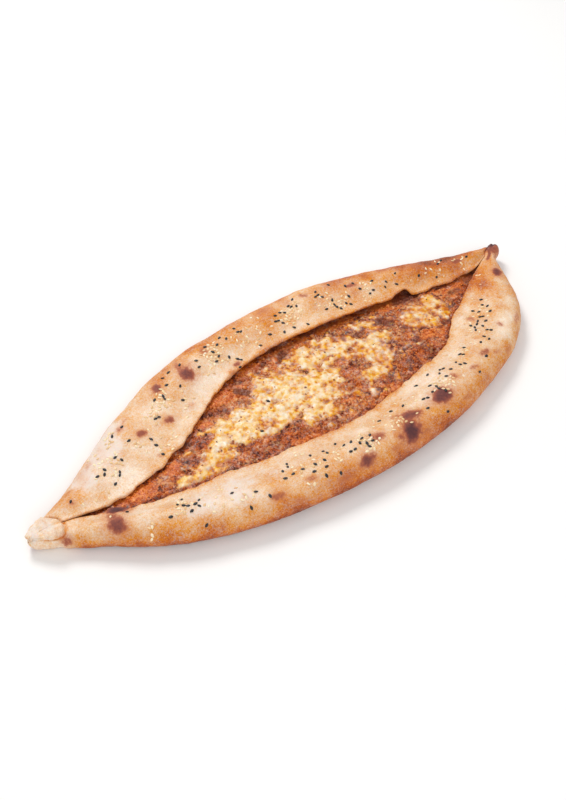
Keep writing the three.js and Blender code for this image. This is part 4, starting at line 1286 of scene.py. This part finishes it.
def meat_material(name, per_crumb):
    k = Nodes(name)
    fine, medium = k.noise(1.1, 3, 0.65, 21.0), k.noise(3.6, 3, 0.6, 23.0)
    t = k.add(k.about(fine, 0.66), k.about(medium, 0.60))
    t = k.add(t, k.about(k.noise(8.0, 2, 0.5, 27.0), 0.50))
    if per_crumb:
        t = k.add(t, k.math("MULTIPLY_ADD", k.attribute("rnd"), 0.46, 0.21), clamp=True)
    else:
        t = k.add(t, 0.43, clamp=True)
    colour = k.ramp(t, [(0.0, (62, 26, 20)), (0.2, (110, 46, 27)), (0.4, (160, 75, 38)), (0.58, (192, 99, 51)), (0.78, (218, 141, 90)), (1.0, (238, 196, 158))])
    colour = k.vary(colour, ((7.0, 0.5), (2.6, 0.6), (1.0, 0.6)), 95.0)
    oil = k.window(k.add(k.mul(k.attribute("oil"), 0.44), k.add(k.noise(4.5, 2, 0.6, 31.0), k.mul(k.noise(1.4, 2, 0.6, 33.0), 0.62))), 0.86, 1.08)
    colour = k.blend(k.mul(oil, 0.78), colour, k.ramp(k.add(k.mul(fine, 0.5), k.mul(k.noise(2.4, 2, 0.6, 34.0), 0.5)), [(0.34, (150, 58, 22)), (0.48, (206, 98, 34)), (0.58, (236, 140, 56)), (0.7, (248, 184, 104))]))
    film = k.window(k.add(k.attribute("cover"), k.about(k.noise(2.2, 2, 0.6, 35.0), 0.7)), 0.16, 0.66)
    colour = k.blend(k.mul(film, 0.72), colour, k.ramp(k.noise(1.6, 2, 0.6, 37.0), [(0.3, (196, 118, 66)), (0.5, (216, 156, 100)), (0.7, (240, 208, 160))]))
    # scorched spots, and the painted shadow under the far lip, as dark meat colour
    colour = k.blend(k.mul(k.window(k.add(k.attribute("burn"), k.about(fine, 0.25)), 0.1, 0.9), 0.80), colour, k.ramp(fine, [(0.3, (58, 24, 20)), (0.7, (112, 50, 32))]))
    pit = k.cells(1.7, 5.0)
    height = k.add(k.mul(pit, 0.5), k.mul(fine, 0.8))
    k.bump(height, 0.6, 0.3)
    rough = k.math("MULTIPLY_ADD", medium, 0.3, 0.28, clamp=True)
    return k.finish(colour, rough, 0.32, 0.06, (1, 0.35, 0.2), 0.8)


def cheese_material(name, sheet_piece):
    k = Nodes(name)
    fine, medium = k.noise(1.3, 3, 0.6, 41.0), k.noise(3.4, 2, 0.6, 43.0)
    if sheet_piece:
        t = k.add(k.attribute("tone"), k.about(fine, 0.09))
        t = k.add(t, k.about(medium, 0.10))
        t = k.math("MULTIPLY_ADD", k.attribute("oil"), -0.16, t, clamp=True)
    else:
        t = k.add(k.math("MULTIPLY_ADD", k.attribute("rnd"), 0.42, 0.46), k.about(fine, 0.22), clamp=True)
    colour = k.ramp(t, [(0.0, (112, 52, 34)), (0.12, (154, 78, 44)), (0.25, (194, 114, 62)), (0.38, (218, 152, 88)), (0.5, (228, 180, 118)),
                        (0.65, (236, 202, 150)), (0.82, (242, 220, 182)), (1.0, (250, 238, 218))])
    colour = k.vary(colour, ((6.0, 0.8), (3.0, 0.8), (1.2, 0.35)), 97.0)
    gold = k.window(k.add(k.attribute("gilt"), k.about(fine, 0.25)), 0.05, 0.95)
    colour = k.blend(k.mul(gold, 0.85), colour, k.ramp(k.noise(2.0, 2, 0.6, 49.0), [(0.35, (226, 132, 40)), (0.6, (248, 190, 72))]))
    height = k.add(k.mul(fine, 0.6), k.mul(k.noise(0.6, 2, 0.5, 45.0), 0.3))
    k.bump(height, 0.4, 0.22)
    rough = k.math("MULTIPLY_ADD", medium, 0.22, 0.30, clamp=True)
    return k.finish(colour, rough, 0.4, 0.22, (1, 0.62, 0.3), 1.1)


def speck_material():
    k = Nodes("toasted_cheese")
    t = k.add(k.mul(k.attribute("rnd"), 0.85), k.about(k.noise(0.9, 2, 0.5, 61.0), 0.18), clamp=True)
    colour = k.ramp(t, [(0.0, (124, 64, 38)), (0.3, (168, 88, 44)), (0.6, (208, 124, 52)), (0.85, (230, 158, 74)), (1.0, (238, 184, 104))])
    k.bump(k.noise(0.8, 2, 0.5, 63.0), 0.3, 0.2)
    return k.finish(colour, 0.38, 0.5, 0.1, (1, 0.5, 0.2), 0.6)


def dark_seed_material():
    k = Nodes("dark_sesame_coat")
    t = k.add(k.mul(k.attribute("rnd"), 0.7), k.about(k.noise(0.7, 2, 0.5, 71.0), 0.25), clamp=True)
    colour = k.ramp(t, [(0.0, (22, 22, 26)), (0.6, (34, 35, 42)), (1.0, (58, 58, 64))])
    k.bump(k.noise(0.35, 2, 0.5, 73.0), 0.25, 0.1)
    return k.finish(colour, 0.42, 0.5)


def pale_seed_material():
    k = Nodes("pale_sesame_coat")
    t = k.add(k.mul(k.attribute("rnd"), 0.8), k.about(k.noise(0.8, 2, 0.5, 81.0), 0.22), clamp=True)
    colour = k.ramp(t, [(0.0, (226, 182, 128)), (0.4, (246, 218, 174)), (1.0, (254, 242, 214))])
    k.bump(k.noise(0.4, 2, 0.5, 83.0), 0.25, 0.1)
    return k.finish(colour, 0.45, 0.45, 0.15, (1, 0.6, 0.3), 0.5)


for ob, material in ((dough, bread_material()), (meat, meat_material("minced_meat", False)), (minced, meat_material("minced_grains", True)),
                     (cheese, cheese_material("melted_cheese_skin", True)),
                     (toasted, speck_material()), (dark_seeds, dark_seed_material()), (pale_seeds, pale_seed_material())):
    ob.data.materials.append(material)

for ob, slot_name in ((dough, "bread"), (meat, "meat"), (minced, "meat"), (cheese, "cheese"), (toasted, "cheese"),
                      (dark_seeds, "dark_seed"), (pale_seeds, "pale_seed")):
    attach(ob, "root")
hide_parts("dough")
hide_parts("filling")
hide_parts("cheese")

# ---------------------------------------------------------------------------------------------------------
# floor, light and camera
# ---------------------------------------------------------------------------------------------------------
floor_mesh = bpy.data.meshes.new("floor")
R = 6.0
floor_mesh.from_pydata([(-R, -R, 0), (R, -R, 0), (R, R, 0), (-R, R, 0)], [], [(0, 1, 2, 3)])
floor = bpy.data.objects.new("floor", floor_mesh)
bpy.context.scene.collection.objects.link(floor)
paper = Nodes("pale_floor")
paper.finish(paper.ramp(paper.noise(400, 1, 0.5), [(0.0, (247, 246, 245)), (1.0, (250, 249, 248))]), 0.9, 0.1)
floor_mesh.materials.append(paper.material)

world = bpy.data.worlds.new("studio")
bpy.context.scene.world = world
world.use_nodes = True
world.node_tree.nodes["Background"].inputs["Color"].default_value = (0.98, 0.99, 1.0, 1)
world.node_tree.nodes["Background"].inputs["Strength"].default_value = 0.58


def area(name, where, aim, size, power, colour=(1, 1, 1)):
    light = bpy.data.lights.new(name, "AREA")
    light.shape = "DISK"
    light.size = size
    light.energy = power
    light.color = colour
    ob = bpy.data.objects.new(name, light)
    bpy.context.scene.collection.objects.link(ob)
    ob.location = where
    ob.rotation_euler = (Vector(aim) - Vector(where)).to_track_quat("-Z", "Y").to_euler()
    return ob


# the photograph's light comes from behind and left, high up, with a soft fill from in front
h_back = Vector((-back[0], -back[1], 0)).normalized()
h_left = Vector((-right[0], -right[1], 0))
area("key", h_back * 0.75 + h_left * 0.45 + Vector((0, 0, 1.05)), (0, 0, 0), 0.5, 9.6, (1.0, 0.985, 0.96))
area("fill", -h_back * 1.0 - h_left * 0.3 + Vector((0, 0, 0.9)), (0, 0, 0), 1.1, 6.0, (1.0, 0.98, 0.96))

camera_data = bpy.data.cameras.new("photo_camera")
camera = bpy.data.objects.new("photo_camera", camera_data)
bpy.context.scene.collection.objects.link(camera)
camera_data.sensor_fit = "AUTO"
camera_data.sensor_width = 36.0
camera_data.lens = CAM_F / 800.0 * 36.0
camera_data.clip_start = 0.01
camera_data.clip_end = 50.0
camera.location = Vector(eye) * MM
camera.rotation_euler = (-Vector(back)).to_track_quat("-Z", "Y").to_euler()
bpy.context.scene.camera = camera
bpy.context.scene.view_settings.view_transform = "Standard"
bpy.context.scene.view_settings.look = "None"
